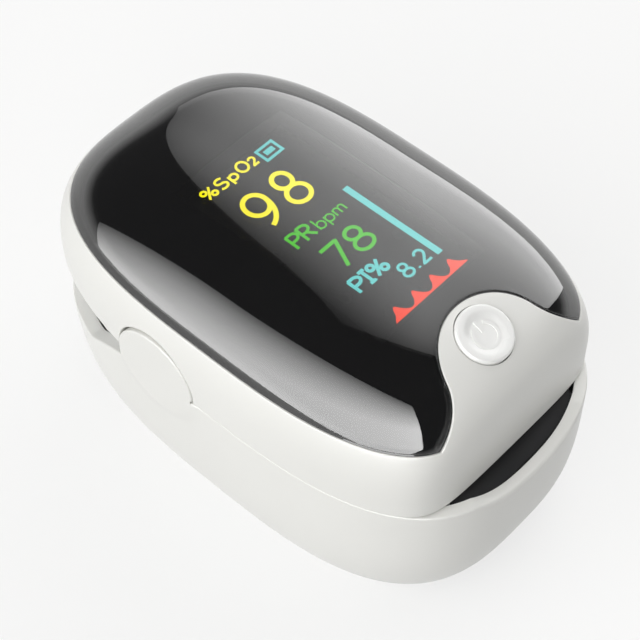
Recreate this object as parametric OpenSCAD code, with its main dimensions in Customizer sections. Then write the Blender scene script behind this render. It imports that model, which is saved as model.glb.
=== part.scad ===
// Fingertip pulse oximeter: two hinged jaws with a finger channel between them.
// X runs across the jaws, Y from the finger opening (front, -Y) to the squeeze end, Z up.
// The origin is under the middle of the part, on the surface that it rests on.

/* [Body] */
// Width across the two jaws
body_w = 36; // [35:0.5:42]
// Length from the finger opening to the squeeze end
body_l = 58; // [57:0.5:66]
// Height over the display window
body_h = 34; // [33.5:0.5:40]
// Height of the widest level, as a share of the height
waist_z_share = 0.6176; // [0.5882:0.0001:0.6471]
// How far the belly curve would run on below the flat base
belly_run = 3.7; // [3:0.1:4.4]
// Squareness of the outline seen from above
plan_n = 3; // [2.9:0.1:3.6]
// Squareness of the crown
crown_n = 2.5; // [2.4:0.1:3]
// Squareness of the belly
belly_n = 4.3; // [4:0.1:5]
// Wall of the two moulded shells
shell_wall = 1.3; // [1.1:0.1:1.4]
// How far the lower shell stands back from the upper one all round
lower_inset = 0.2; // [0.1:0.05:0.5]
// How far the nose of the upper jaw stands back from the lower lip, as a share of the length
nose_back_share = 0.0517; // [0.0431:0.0001:0.0569]

/* [Parting] */
// Height of the parting between the jaws, in front of the hinge, as a share of the height
seam_z_share = 0.5368; // [0.5265:0.0001:0.5471]
// Gap at the parting
seam_gap = 0.3; // [0.2:0.05:0.5]
// Height of the lower shell's edge just behind the hinge, as a share of the height
squeeze_z_share = 0.4912; // [0.4706:0.0001:0.4941]
// Fall of that edge from there to the squeeze end, as a share of the height
squeeze_fall_share = 0.0765; // [0.0676:0.0001:0.0971]
// Rise of the upper shell's edge from the hinge to the squeeze end, as a share of the height
heel_rise_share = 0.0588; // [0.0441:0.0001:0.0706]

/* [Finger channel] */
// Width of the finger opening, as a share of the width
mouth_w_share = 0.5; // [0.4778:0.0001:0.5056]
// Depth of the opening's lower curve below the upper lip, as a share of the height
mouth_drop_share = 0.0544; // [0.0471:0.0001:0.0603]
// Slope of the lower pad's trough, in degrees
trough_slope = 1.8; // [1.4:0.1:2]
// Height of the upper pad's arch above the upper lip, as a share of the height
arch_rise_share = 0.1353; // [0.1235:0.0001:0.1412]
// Width of the two finger pads, as a share of the width
pad_w_share = 0.5111; // [0.5056:0.0001:0.5222]
// Thickness of the upper pad at the top of its arch
pad_t = 1; // [0.8:0.1:1.2]
// Distance that the pads reach behind the middle, as a share of the length
pad_end_share = 0.1552; // [0.1379:0.0001:0.1638]
// Distance of the light path in front of the middle, as a share of the length
sensor_y_share = 0.1034; // [0.0690:0.0001:0.1552]
// Diameter of the two light windows
light_d = 5.6; // [4.6:0.1:6]

/* [Hinge] */
// Distance of the pivot behind the middle, as a share of the length
pivot_y_share = 0.1052; // [0.1000:0.0001:0.1103]
// Height of the pivot, as a share of the height
pivot_z_share = 0.55; // [0.5412:0.0001:0.5559]
// Diameter of the round hinge ears of the lower shell
ear_d = 10.4; // [10:0.1:11]
// Gap between an ear and the round notch that it lies in
ear_gap = 0.35; // [0.3:0.05:0.5]
// Diameter of the pivot pins
pin_d = 2.4; // [2:0.1:2.6]
// Play of a pin in the swinging knuckle, on the radius
pin_play = 0.05; // [0.03:0.01:0.08]
// Diameter of the round hinge knuckles
knuckle_d = 7.2; // [6.4:0.1:7.6]
// Thickness of the swinging knuckles
knuckle_t = 1.2; // [1:0.1:1.4]
// Thickness of the fixed hinge cheeks
cheek_t = 1.1; // [0.9:0.1:1.2]
// Wire of the torsion springs
torsion_wire = 0.5; // [0.4:0.05:0.55]
// Mean radius of a torsion spring's coil
torsion_r = 2.2; // [2.05:0.05:2.4]
// Length of a torsion spring's legs
torsion_leg = 6.3; // [5.5:0.1:6.4]

/* [Display] */
// Height of the display window's edge, as a share of the height
window_z_share = 0.7882; // [0.7706:0.0001:0.8059]
// Thickness of the display window
window_t = 1.3; // [1.1:0.1:1.4]
// Radius of the tongue that the upper shell sends into the window, as a share of the width
tongue_r_share = 0.1889; // [0.1778:0.0001:0.1944]
// Distance of the tongue's tip in front of the middle, as a share of the length
tongue_y_share = 0.2966; // [0.2897:0.0001:0.3034]
// Distance between the two front tips of the window, as a share of the width
tips_w_share = 0.5889; // [0.5722:0.0001:0.6056]
// How far the tips lie in front of the tongue's tip, as a share of the length
tips_y_share = 0.1267; // [0.1241:0.0001:0.1310]
// Width of the display panel, as a share of the width
panel_w_share = 0.4722; // [0.4444:0.0001:0.4722]
// Length of the display panel, as a share of the length
panel_l_share = 0.4931; // [0.4655:0.0001:0.5000]
// Thickness of the display panel
panel_t = 1.2; // [1:0.1:1.4]
// Distance of the panel's face below the inside of the window's top, as a share of the height
panel_drop_share = 0.0735; // [0.0706:0.0001:0.0882]
// Distance of the panel's middle in front of the part's middle, as a share of the length
panel_y_share = 0.0172; // [0.0086:0.0001:0.0259]

/* [Power button] */
// Diameter of the power button
button_d = 6; // [5.4:0.1:6.4]
// Distance of the button's middle in front of the part's middle, as a share of the length
button_y_share = 0.3586; // [0.3552:0.0001:0.3655]
// Gap round the button
button_gap = 0.2; // [0.15:0.05:0.3]
// How far the button stands proud of the tongue
button_proud = 0.35; // [0.2:0.05:0.5]
// Stroke of the button
button_stroke = 0.5; // [0.3:0.05:0.6]

/* [Cells] */
// Diameter of a cell, as a share of the height
cell_d_share = 0.3; // [0.2882:0.0001:0.3059]
// Length of a cell with its button, as a share of the length
cell_l_share = 0.7586; // [0.7483:0.0001:0.7621]
// Gap between the two cells
cell_gap = 0.4; // [0.3:0.1:0.6]
// Play between the cells and the plate above them
cell_play = 0.25; // [0.15:0.05:0.3]
// Height of the cells above the surface that the part rests on, as a share of the height
cell_lift_share = 0.0676; // [0.0647:0.0001:0.0706]
// Length taken by a contact spring at each end of a cell
contact_l = 1.3; // [1.1:0.1:1.4]
// Width of a contact plate
contact_w = 5.2; // [4.4:0.1:5.4]
// How far the cell door reaches past the cells on each side
door_side = 0.7; // [0.5:0.1:0.9]
// Distance of the door's front edge in front of the middle, as a share of the length
door_front_share = 0.2414; // [0.2069:0.0001:0.2586]
// Height of the door where it wraps up the squeeze end, as a share of the height
door_top_share = 0.1912; // [0.1618:0.0001:0.2206]
// Gap round the door
door_gap = 0.25; // [0.2:0.05:0.35]

/* [Hidden] */

// Fineness of the moulded skins and of the round pieces
ring_points = 56;
crown_steps = 10;
belly_steps = 9;
round_fn = 48;
far = 200;
tiny = 0.05;
fit = 0.1;
seat = 0.35;

// Places and sizes that follow the body
waist_z = body_h * waist_z_share;
nose_back = body_l * nose_back_share;
seam_z = body_h * seam_z_share;
squeeze_z = body_h * squeeze_z_share;
squeeze_fall = body_h * squeeze_fall_share;
heel_rise = body_h * heel_rise_share;
mouth_w = body_w * mouth_w_share;
mouth_drop = body_h * mouth_drop_share;
arch_rise = body_h * arch_rise_share;
pad_w = body_w * pad_w_share;
pad_end = body_l * pad_end_share;
sensor_y = body_l * sensor_y_share;
pivot_y = body_l * pivot_y_share;
pivot_z = body_h * pivot_z_share;
window_z = body_h * window_z_share;
tongue_r = body_w * tongue_r_share;
tongue_y = body_l * tongue_y_share;
tips_w = body_w * tips_w_share;
tips_y = body_l * tips_y_share;
panel_w = body_w * panel_w_share;
panel_l = body_l * panel_l_share;
panel_drop = body_h * panel_drop_share;
panel_y = body_l * panel_y_share;
button_y = body_l * button_y_share;
cell_d = body_h * cell_d_share;
cell_l = body_l * cell_l_share;
cell_lift = body_h * cell_lift_share;
door_front = body_l * door_front_share;
door_top = body_h * door_top_share;
door_w = 2 * cell_d + cell_gap + 2 * door_side;

half_w = body_w / 2;
half_l = body_l / 2;
nose_y = half_l - nose_back;
nose_n = 20;
upper_z = seam_z + seam_gap / 2;
lower_z = seam_z - seam_gap / 2;

// Frames inside the shells
frame_inset = lower_inset + shell_wall + seat;
frame_wall = 1;
plate_t = 0.8;
cell_z = cell_lift + cell_d / 2;
plate_z = cell_z + cell_d / 2 + cell_play;
plate_top = plate_z + plate_t;
rim_step = 0.5;
flange_top = lower_z - rim_step;
flange_low = upper_z + rim_step;
flange_t = 1;
flange_end = pivot_y - ear_d / 2 + tiny;
cradle_w = pad_w + 2 * fit + 2 * frame_wall;
cradle_top = flange_top - flange_t;
stop_dip = 0.8;
stop_z = pivot_z - stop_dip;
stop_gap = 1.3;
pad_short = 0.6;
lower_pad_end = pad_end - pad_short;
roof_z = upper_z + arch_rise + pad_t;
roof_t = 1;
roof_top = roof_z + roof_t;
roof_back = 0.8;
roof_inset = frame_inset + roof_back;
rear_wall_rise = 2.2;
rear_wall_top = upper_z + rear_wall_rise;
rear_wall_t = 0.9;
side_gap = 0.2;
rear_wall_start = pivot_y + ear_d / 2 + side_gap;

// Finger channel
mouth_r = (pow(mouth_w / 2, 2) + pow(mouth_drop, 2)) / (2 * mouth_drop);
mouth_bottom = upper_z - mouth_drop;
arch_edge = 0.6;
arch_half = pad_w / 2 - arch_edge;
arch_h = arch_rise - rim_step;
arch_r = (pow(arch_half, 2) + pow(arch_h, 2)) / (2 * arch_h);
pad_sink = 0.2;
sensor_board_t = 0.6;
die_w = 3.2;
die_l = 2.8;
diode_t = 0.5;
led_t = 1.2;
light_t = 0.8;
pad_floor = plate_top + sensor_board_t + fit;

// Hinge, from the outside inwards
cheek_x = half_w - frame_inset - tiny;
knuckle_x = cheek_x - cheek_t - side_gap;
spring_x = knuckle_x - knuckle_t - side_gap;
spring_room = spring_x - cradle_w / 2 - seat;
pin_end_x = cradle_w / 2 + side_gap;
press_play = 0.02;
// The springs' legs reach down to the plate, and up as far
torsion_drop = pivot_z - plate_top - torsion_wire / 2 - fit;
torsion_lean = asin(torsion_drop / norm([torsion_r, torsion_leg])) - atan(torsion_r / torsion_leg);
torsion_turns = 2;

// Cells and their contacts
cell_x = (cell_d + cell_gap) / 2;
contact_back = cell_l / 2 + contact_l;
contact_t = 0.3;
contact_low = 2.2;
contact_high = 4.2;
contact_wire = 0.3;
contact_turns = 1.5;
contact_r = 2.2;
contact_tip_r = 0.8;
contact_rib_t = 1;
contact_rib_w = 2 * cell_x + contact_w + seat;
contact_rib_low = 0.6;
contact_rib_z = cell_z + contact_rib_low;
door_lift = 0.2;
rib_t = 1;
rib_side = 3;
rib_w = 2 * (cell_x + rib_side);
rib_y = 0.138 * body_l;
lower_boss_d = 3.2;
lower_boss_x = cell_x + cell_d / 2 + lower_boss_d / 2 + seat;
lower_boss_y = 0.224 * body_l;
lower_screw_l = 5;
flex_w = 6;
flex_t = 0.2;
flex_y = 0.3207 * body_l;
flex_slack = 3;
flex_room = 0.5;

// Display and boards
panel_top = body_h - window_t - panel_drop;
board_t = 1;
board_top = panel_top - panel_t;
board_z = board_top - board_t;
board_w = 0.694 * body_w;
board_l = 0.759 * body_l;
board_front = 0.286 * body_l;
board_rear = 0.345 * body_l;
chip_t = 1.4;
gasket_t = 0.3;
gasket_w = 1.6;
boss_d = 4;
boss_x = 0.289 * body_w;
boss_y = 0.224 * body_l;
roof_end = boss_y + boss_d / 2 + roof_t;
screw_d = 1.5;
screw_head_d = 2.6;
screw_head_t = 0.7;

// Power button, square to the crown's skin where it stands
crown_h = body_h - waist_z;
button_reach = button_y / half_l;
button_level = pow(1 - pow(button_reach, crown_n), 1 / crown_n);
button_z = waist_z + crown_h * button_level;
button_lean = atan(crown_h / half_l * pow(button_reach / button_level, crown_n - 1));
button_edge = 0.3;
button_rim = 0.4;
button_dish = 0.25;
button_flange = 0.7;
button_flange_t = 0.5;
button_under = shell_wall + 0.75;
button_stem_d = 1.8;
switch_board_w = 8;
switch_board_l = 6;
switch_board_t = 0.6;
switch_w = 4;
switch_t = 0.9;
plunger_d = 2;
plunger_t = 0.3;
switch_top = roof_top + switch_board_t + switch_t + plunger_t;
// The stem stops short of the switch by the stroke, at the low side of its slanting end
stem_l = (button_z - switch_top) / cos(button_lean) - button_stroke - fit - tan(button_lean) * button_stem_d;
switch_y = -button_y + (button_z - switch_top) * tan(button_lean);

// Signed power, for the rounded square outlines
function signed_pow(v, p) = sign(v) * pow(abs(v), p);

// Smooth limit on how far forward a point may lie
function blunt(y, limit) = y > -1 ? y : -pow(pow(-y, -nose_n) + pow(limit, -nose_n), -1 / nose_n);

// One ring of the rounded square outline at height z
function plan_ring(a, b, z, limit) = [
    for (i = [0 : ring_points - 1])
        let (t = 360 * i / ring_points)
        [a * signed_pow(cos(t), 2 / plan_n), blunt(b * signed_pow(sin(t), 2 / plan_n), limit), z]
];

// Rings of the crown from the waist to the top, set in from the outer skin
function crown_rings(inset, top_inset) = [
    for (i = [0 : crown_steps])
        let (
            t = 88 * i / crown_steps,
            s = pow(cos(t), 2 / crown_n),
            rise = (body_h - top_inset - waist_z) * pow(sin(t), 2 / crown_n)
        )
        plan_ring((half_w - inset) * s, (half_l - inset) * s, waist_z + rise, nose_y - inset)
];

// Rings of the belly from a base height up to the waist, set in from the outer skin
function belly_rings(inset, base) =
    let (depth = waist_z + belly_run - base / 2, start = asin(pow((waist_z - base) / depth, belly_n / 2)))
    [
        for (i = [0 : belly_steps])
            let (
                t = start * (1 - i / belly_steps),
                s = pow(cos(t), 2 / belly_n),
                z = waist_z - depth * pow(sin(t), 2 / belly_n)
            )
            plan_ring((half_w - inset) * s, (half_l - inset) * s, z, far)
    ];

// Two triangles for each side of the band between ring i and the next one
function band(i, n) = [
    for (j = [0 : n - 1])
        let (k = (j + 1) % n, a = i * n, b = a + n)
        each [[a + j, b + j, b + k], [a + j, b + k, a + k]]
];

// Closed skin over a list of rings
module loft(rings) {
    n = len(rings[0]);
    m = len(rings);
    polyhedron(
        points = [for (r = rings) each r],
        faces = concat(
            [[for (j = [0 : n - 1]) j]],
            [for (i = [0 : m - 2]) each band(i, n)],
            [[for (j = [n - 1 : -1 : 0]) (m - 1) * n + j]]
        )
    );
}

// A free-form moulding, joined into one skin
module moulded() {
    resize([0, 0, 0]) children();
}

module slab(z, t) {
    translate([0, 0, z]) linear_extrude(t) children();
}

// Outline of the part seen from above, set in from the outer skin
module plan_area(inset, limit = far) {
    polygon([for (p = plan_ring(half_w - inset, half_l - inset, 0, limit)) [p.x, p.y]]);
}

// Part of the outline between two distances from the middle, limited to a width
module plan_part(inset, front, rear, width, limit = far) {
    intersection() {
        plan_area(inset, limit);
        translate([-width / 2, front]) square([width, rear - front]);
    }
}

module crown_solid(inset, top_inset) {
    skirt = plan_ring(half_w - inset, half_l - inset, upper_z - (inset > 0 ? 1 : 0), nose_y - inset);
    loft(concat([skirt], crown_rings(inset, top_inset)));
}

module belly_solid(inset, base) {
    loft(belly_rings(inset, base));
}

// A round bar across the part at the pivot, from one distance to another
module pivot_bar(d, from, to) {
    translate([from, pivot_y, pivot_z]) rotate([0, 90, 0]) cylinder(d = d, h = to - from, $fn = round_fn);
}

// The same shape on both sides of the part
module both_sides() {
    children();
    mirror([1, 0, 0]) children();
}

// Space above the lower shell's edge, seen from the side, with its step behind the hinge ears
module above_lower_edge() {
    step_y = pivot_y + ear_d / 8;
    rotate([90, 0, 90]) linear_extrude(far, center = true) polygon([
        [-far, lower_z],
        [step_y, lower_z],
        [step_y, squeeze_z],
        [rear_wall_start, squeeze_z],
        [half_l, squeeze_z - squeeze_fall],
        [far, squeeze_z - squeeze_fall],
        [far, far],
        [-far, far]
    ]);
}

// Space below the upper shell's edge, seen from the side
module below_upper_edge() {
    rotate([90, 0, 90]) linear_extrude(far, center = true) polygon([
        [-far, upper_z],
        [rear_wall_start, upper_z],
        [half_l, upper_z + heel_rise],
        [half_l, -far],
        [-far, -far]
    ]);
}

// Round floor of the finger opening, sloping down into the part
module mouth_bore(slope) {
    translate([0, -half_l, mouth_bottom + mouth_r])
        rotate([-90 - slope, 0, 0])
            translate([0, 0, -half_l]) cylinder(r = mouth_r, h = 2 * body_l, $fn = 2 * round_fn);
}

// Bell-shaped tongue that the upper shell sends into the window
module tongue_area(grow) {
    centre_y = -tongue_y - tongue_r;
    tip_y = -tongue_y - tips_y;
    side_x = tips_w / 2;
    // The hollow side arcs touch both the tongue's round end and the line of the tips
    drop = centre_y - tip_y;
    side_r = (side_x * side_x + drop * drop - tongue_r * tongue_r) / (2 * (tongue_r + drop));
    side_y = tip_y + side_r;
    touch_y = centre_y + (side_y - centre_y) * tongue_r / (tongue_r + side_r);
    translate([0, centre_y]) circle(tongue_r + grow, $fn = round_fn);
    difference() {
        translate([-side_x, -body_l]) square([tips_w, body_l + touch_y]);
        for (s = [-1, 1]) translate([s * side_x, side_y]) circle(side_r - grow, $fn = round_fn);
    }
    translate([-half_w, -body_l]) square([body_w, body_l + tip_y + grow]);
}

// Space of the window: above its edge and clear of the tongue
module window_space(grow) {
    difference() {
        translate([-body_w, -body_l, window_z - grow]) cube([2 * body_w, 2 * body_l, body_h]);
        slab(0, 2 * body_h) tongue_area(-grow);
    }
}

// Moves to the button's middle, with Z along its axis
module at_button() {
    translate([0, -button_y, button_z]) rotate([button_lean, 0, 0]) children();
}

// Space of the cell door: wide open to the squeeze end
module door_space(gap) {
    translate([-door_w / 2 - gap, -door_front - gap, -1])
        cube([door_w + 2 * gap, body_l, door_top + 1 + gap]);
}

module screw(length) {
    cylinder(d = screw_d - fit, h = length, $fn = round_fn);
    translate([0, 0, length]) cylinder(d = screw_head_d, h = screw_head_t, $fn = round_fn);
}

// Places of the four screws of a frame
module at_corners(x, y) {
    for (sx = [-1, 1], sy = [-1, 1]) translate([sx * x, sy * y, 0]) children();
}

// Least gap between turns of a wire, measured on the points of its path
function least_gap(path, d, skip) = min([
    for (i = [0 : len(path) - 1 - skip], j = [i + skip : len(path) - 1]) norm(path[i] - path[j])
]) - d;

function unit(v) = v / norm(v);

// Rings of a wire along a path that winds round an axis
function wire_rings(path, axis, d) = [
    for (i = [0 : len(path) - 1])
        let (
            ahead = path[min(i + 1, len(path) - 1)],
            behind = path[max(i - 1, 0)],
            along = unit(ahead - behind),
            out = unit(cross(along, axis)),
            up = cross(along, out)
        )
        [for (k = [0 : 5]) path[i] + d / 2 * (cos(60 * k) * out + sin(60 * k) * up)]
];

// Torsion spring: a leg, the coil and a second leg, wound round the pivot
function torsion_path(side) =
    let (
        steps = 8 * torsion_turns + 3,
        sweep = 180 - 2 * torsion_lean + 360 * torsion_turns,
        start = 270 - torsion_lean,
        pitch_x = (spring_room - torsion_wire) / steps,
        x0 = spring_x - torsion_wire / 2,
        coil = [
            for (i = [0 : steps])
                let (t = start - sweep * i / steps)
                [x0 - pitch_x * i, pivot_y + torsion_r * cos(t), pivot_z + torsion_r * sin(t)]
        ],
        leg = torsion_leg * [0, cos(torsion_lean), sin(torsion_lean)],
        first = coil[0] + [leg.x, leg.y, -leg.z],
        last = coil[steps] + leg
    )
    [for (p = concat([first], coil, [last])) [side * p.x, p.y, p.z]];

// Conical contact spring at one end of a cell, winding along Y from its wide end
function contact_path(x, y, way) =
    let (steps = 8 * contact_turns)
    [
        for (i = [0 : steps])
            let (
                t = 360 * contact_turns * i / steps,
                r = contact_r - (contact_r - contact_tip_r) * i / steps,
                rise = contact_wire / 2 + (contact_l - contact_wire - fit) * i / steps
            )
            [x + r * cos(t), y + way * rise, cell_z + r * sin(t)]
    ];

echo(torsion_gap = least_gap(torsion_path(1), torsion_wire, 7));
echo(contact_gap = least_gap(contact_path(0, 0, 1), contact_wire, 7));

module lower_shell() {
    color("whitesmoke") moulded() difference() {
        union() {
            difference() {
                belly_solid(lower_inset, 0);
                belly_solid(lower_inset + shell_wall, shell_wall);
                above_lower_edge();
            }
            // Round ears at the two ends of the pivot
            both_sides() pivot_bar(ear_d, half_w - lower_inset - shell_wall + tiny, half_w);
            // Bosses for the frame's screws, moulded to the wall
            intersection() {
                belly_solid(lower_inset + shell_wall / 2, shell_wall / 2);
                at_corners(lower_boss_x, lower_boss_y)
                    cylinder(d = lower_boss_d, h = plate_z - tiny, $fn = 24);
            }
        }
        mouth_bore(0);
        door_space(door_gap);
        at_corners(lower_boss_x, lower_boss_y)
            translate([0, 0, plate_z - lower_screw_l]) cylinder(d = screw_d + fit, h = far, $fn = 24);
    }
}

module lower_frame() {
    color("gainsboro") difference() {
        union() {
            // Plate over the cells
            slab(plate_z, plate_t) plan_area(frame_inset);
            // Cradle of the finger pad, lower at its end
            slab(plate_z, cradle_top - plate_z) plan_part(frame_inset, -half_l, lower_pad_end, cradle_w);
            slab(plate_z, stop_z - stop_gap - plate_z)
                plan_part(frame_inset, -half_l, pad_end + fit + frame_wall, cradle_w);
            // Flange beside the pad, in front of the hinge
            slab(flange_top - flange_t, flange_t) plan_part(frame_inset, -half_l, flange_end, body_w);
            // Wall inside the squeeze gap
            slab(plate_z, rear_wall_top - plate_z) difference() {
                plan_part(frame_inset + seat, rear_wall_start, half_l, body_w);
                plan_area(frame_inset + seat + rear_wall_t);
            }
            // Ribs that the contact plates lean on
            for (way = [-1, 1])
                translate([0, way * (contact_back + contact_t + tiny + contact_rib_t / 2), 0])
                    slab(contact_rib_z, plate_z - contact_rib_z)
                        square([contact_rib_w, contact_rib_t], center = true);
            // Hinge cheeks
            both_sides() {
                pivot_bar(knuckle_d, cheek_x - cheek_t, cheek_x);
                translate([cheek_x - cheek_t, pivot_y - knuckle_d / 2, plate_z])
                    cube([cheek_t, knuckle_d, pivot_z - plate_z]);
            }
        }
        slab(plate_top, far) translate([-pad_w / 2 - fit, -body_l])
            square([pad_w + 2 * fit, body_l + pad_end + fit]);
        pivot_bar(pin_d + 2 * press_play, -half_w, half_w);
        at_corners(lower_boss_x, lower_boss_y) {
            cylinder(d = screw_d + fit, h = plate_top + flange_t, $fn = round_fn);
            // Room for the screw's head
            translate([0, 0, plate_top])
                cylinder(d = screw_head_d + 2 * fit, h = 2 * screw_head_t, $fn = round_fn);
        }
        // Way out for the flat cable
        translate([-flex_w / 2 - flex_room, pad_end, plate_top])
            cube([flex_w + 2 * flex_room, 2 * frame_wall, 2 * flex_room]);
    }
}

module lower_finger_pad() {
    color("dimgray") difference() {
        slab(pad_floor, lower_z - pad_sink - pad_floor)
            plan_part(frame_inset - fit, -half_l, lower_pad_end, pad_w);
        mouth_bore(trough_slope);
        translate([0, -sensor_y, 0]) cylinder(d = light_d + 2 * fit, h = far, $fn = round_fn);
    }
}

module detector_window() {
    color("lightsteelblue", 0.6) translate([0, -sensor_y, plate_top + sensor_board_t + diode_t + fit])
        cylinder(d = light_d, h = light_t, $fn = round_fn);
}

module photodiode() {
    color("black") translate([-die_w / 2, -sensor_y - die_l / 2, plate_top + sensor_board_t])
        cube([die_w, die_l, diode_t]);
}

module sensor_board() {
    color("darkgreen") translate([-flex_w / 2, -sensor_y - light_d, plate_top])
        cube([flex_w, sensor_y + light_d + pad_end + fit, sensor_board_t]);
}

// A cell lying along Y with its button towards +Y
module cell() {
    nub_l = 0.8;
    nub_r = 1.9;
    edge = 0.5;
    can_l = cell_l - nub_l;
    rotate([-90, 0, 0]) translate([0, 0, -cell_l / 2]) rotate_extrude($fn = round_fn) polygon([
        [0, 0],
        [cell_d / 2 - edge, 0],
        [cell_d / 2, edge],
        [cell_d / 2, can_l - edge],
        [cell_d / 2 - edge, can_l],
        [nub_r, can_l],
        [nub_r, cell_l],
        [0, cell_l]
    ]);
}

module battery_left() {
    color("slategray") translate([-cell_x, 0, cell_z]) cell();
}

module battery_right() {
    color("slategray") translate([cell_x, 0, cell_z]) rotate([0, 0, 180]) cell();
}

module battery_springs() {
    color("silver") {
        loft(wire_rings(contact_path(-cell_x, -contact_back, 1), [0, 1, 0], contact_wire));
        loft(wire_rings(contact_path(cell_x, contact_back, -1), [0, -1, 0], contact_wire));
    }
}

// A contact plate standing across the part, with its face at a distance from the middle
module contact_plate(x, y, w) {
    translate([x - w / 2, y, cell_z - contact_low]) cube([w, contact_t, contact_low + contact_high]);
}

module battery_contacts() {
    color("goldenrod") for (x = [-cell_x, cell_x]) contact_plate(x, contact_back, contact_w);
}

module battery_bridge() {
    color("goldenrod") contact_plate(0, -contact_back - contact_t, 2 * cell_x + contact_w);
}

module battery_door() {
    skin = shell_wall - fit;
    color("whitesmoke") moulded() intersection() {
        difference() {
            union() {
                difference() {
                    belly_solid(lower_inset, 0);
                    belly_solid(lower_inset + skin, skin);
                }
                // Ribs that keep the cells up
                for (y = [-rib_y, rib_y])
                    translate([-rib_w / 2, y - rib_t / 2, skin / 2])
                        cube([rib_w, rib_t, cell_lift - seat - skin / 2]);
            }
            // The door lies a little above the surface that the shell rests on
            translate([-half_w, -half_l, -1]) cube([body_w, body_l, 1 + door_lift]);
        }
        door_space(0);
    }
}

module lower_screws() {
    color("silver") at_corners(lower_boss_x, lower_boss_y)
        translate([0, 0, plate_top - lower_screw_l]) screw(lower_screw_l);
}

module pivot_pin() {
    pivot_bar(pin_d, pin_end_x, cheek_x + fit);
}

module pivot_pin_left() {
    color("silver") mirror([1, 0, 0]) pivot_pin();
}

module pivot_pin_right() {
    color("silver") pivot_pin();
}

module torsion_spring_left() {
    color("silver") loft(wire_rings(torsion_path(-1), [1, 0, 0], torsion_wire));
}

module torsion_spring_right() {
    color("silver") loft(wire_rings(torsion_path(1), [-1, 0, 0], torsion_wire));
}

module upper_shell() {
    color("white") moulded() difference() {
        crown_solid(0, 0);
        crown_solid(shell_wall, shell_wall);
        below_upper_edge();
        window_space(0);
        both_sides() pivot_bar(ear_d + 2 * ear_gap, half_w / 2, body_w);
        at_button() rotate(90 / round_fn)
            cylinder(d = button_d + 2 * button_gap, h = button_d, center = true, $fn = round_fn);
    }
}

module display_window() {
    color("black") moulded() intersection() {
        difference() {
            crown_solid(0, 0);
            crown_solid(window_t, window_t);
        }
        window_space(-tiny);
    }
}

module display_gasket() {
    color("black") slab(panel_top, gasket_t) translate([0, -panel_y]) difference() {
        square([panel_w, panel_l], center = true);
        square([panel_w - 2 * gasket_w, panel_l - 2 * gasket_w], center = true);
    }
}

module oled_panel() {
    color("midnightblue") slab(board_top, panel_t) translate([0, -panel_y])
        square([panel_w, panel_l], center = true);
}

module main_board() {
    color("darkgreen") difference() {
        slab(board_z, board_t) intersection() {
            polygon([for (p = plan_ring(board_w / 2, board_l / 2, 0, far)) [p.x, p.y]]);
            translate([-half_w, -board_front]) square([body_w, board_front + board_rear]);
        }
        at_corners(boss_x, boss_y) cylinder(d = screw_d + fit, h = far, $fn = round_fn);
    }
}

// A chip under the main board, with its middle at a place
module chip(x, y, w, l, t) {
    translate([x - w / 2, y - l / 2, board_z - t]) cube([w, l, t]);
}

module board_chips() {
    color("dimgray") {
        chip(0, -board_l / 11, board_w / 3, board_w / 3, chip_t);
        chip(-board_w / 5, board_l / 6, board_w / 5, board_w / 4, chip_t);
        chip(board_w / 5, board_l / 7, board_w / 5, board_w / 6, 0.7 * chip_t);
        chip(board_w / 5, -board_l / 4, board_w / 6, board_w / 8, 0.7 * chip_t);
    }
}

module upper_frame() {
    color("gainsboro") difference() {
        union() {
            // Box over the finger pad
            slab(flange_low, roof_top - flange_low)
                plan_part(frame_inset, -half_l, pad_end + fit + frame_wall, cradle_w, nose_y - roof_inset);
            // End wall that stops the finger
            slab(stop_z, roof_top - stop_z)
                plan_part(frame_inset, pad_end + fit, pad_end + fit + frame_wall, cradle_w);
            // Flange beside the pad, in front of the hinge
            slab(flange_low, flange_t)
                plan_part(frame_inset, -half_l, flange_end, body_w, nose_y - frame_inset);
            // Roof that carries the boards
            slab(roof_z, roof_t)
                plan_part(roof_inset, -half_l, roof_end, body_w, nose_y - roof_inset);
            at_corners(boss_x, boss_y) translate([0, 0, roof_z])
                cylinder(d = boss_d, h = board_z - roof_z, $fn = round_fn);
            // Swinging hinge knuckles
            both_sides() {
                pivot_bar(knuckle_d, knuckle_x - knuckle_t, knuckle_x);
                translate([knuckle_x - knuckle_t, pivot_y - knuckle_d / 2, pivot_z])
                    cube([knuckle_t, knuckle_d, roof_top - pivot_z]);
            }
        }
        slab(0, roof_z) translate([-pad_w / 2 - fit, -body_l])
            square([pad_w + 2 * fit, body_l + pad_end + fit]);
        pivot_bar(pin_d + 2 * pin_play, -half_w, half_w);
        at_corners(boss_x, boss_y) translate([0, 0, roof_z])
            cylinder(d = screw_d, h = far, $fn = round_fn);
        translate([-die_w / 2 - fit, -sensor_y - die_l / 2 - fit, 0])
            cube([die_w + 2 * fit, die_l + 2 * fit, far]);
    }
}

module upper_finger_pad() {
    color("dimgray") difference() {
        slab(flange_low, roof_z - flange_low)
            plan_part(frame_inset - fit, -half_l, pad_end, pad_w, nose_y - frame_inset);
        translate([0, 0, upper_z + arch_rise - arch_r]) rotate([90, 0, 0])
            cylinder(r = arch_r, h = 2 * body_l, center = true, $fn = 2 * round_fn);
        translate([0, -sensor_y, 0]) cylinder(d = light_d + 2 * fit, h = far, $fn = round_fn);
    }
}

module emitter_window() {
    color("lightsteelblue", 0.6) translate([0, -sensor_y, roof_z - light_t])
        cylinder(d = light_d, h = light_t, $fn = round_fn);
}

module led_emitter() {
    color("ivory") translate([-die_w / 2, -sensor_y - die_l / 2, roof_z + tiny])
        cube([die_w, die_l, led_t]);
}

module switch_board() {
    color("darkgreen") translate([-switch_board_w / 2, switch_y - switch_board_l / 2, roof_top])
        cube([switch_board_w, switch_board_l, switch_board_t]);
}

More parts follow.
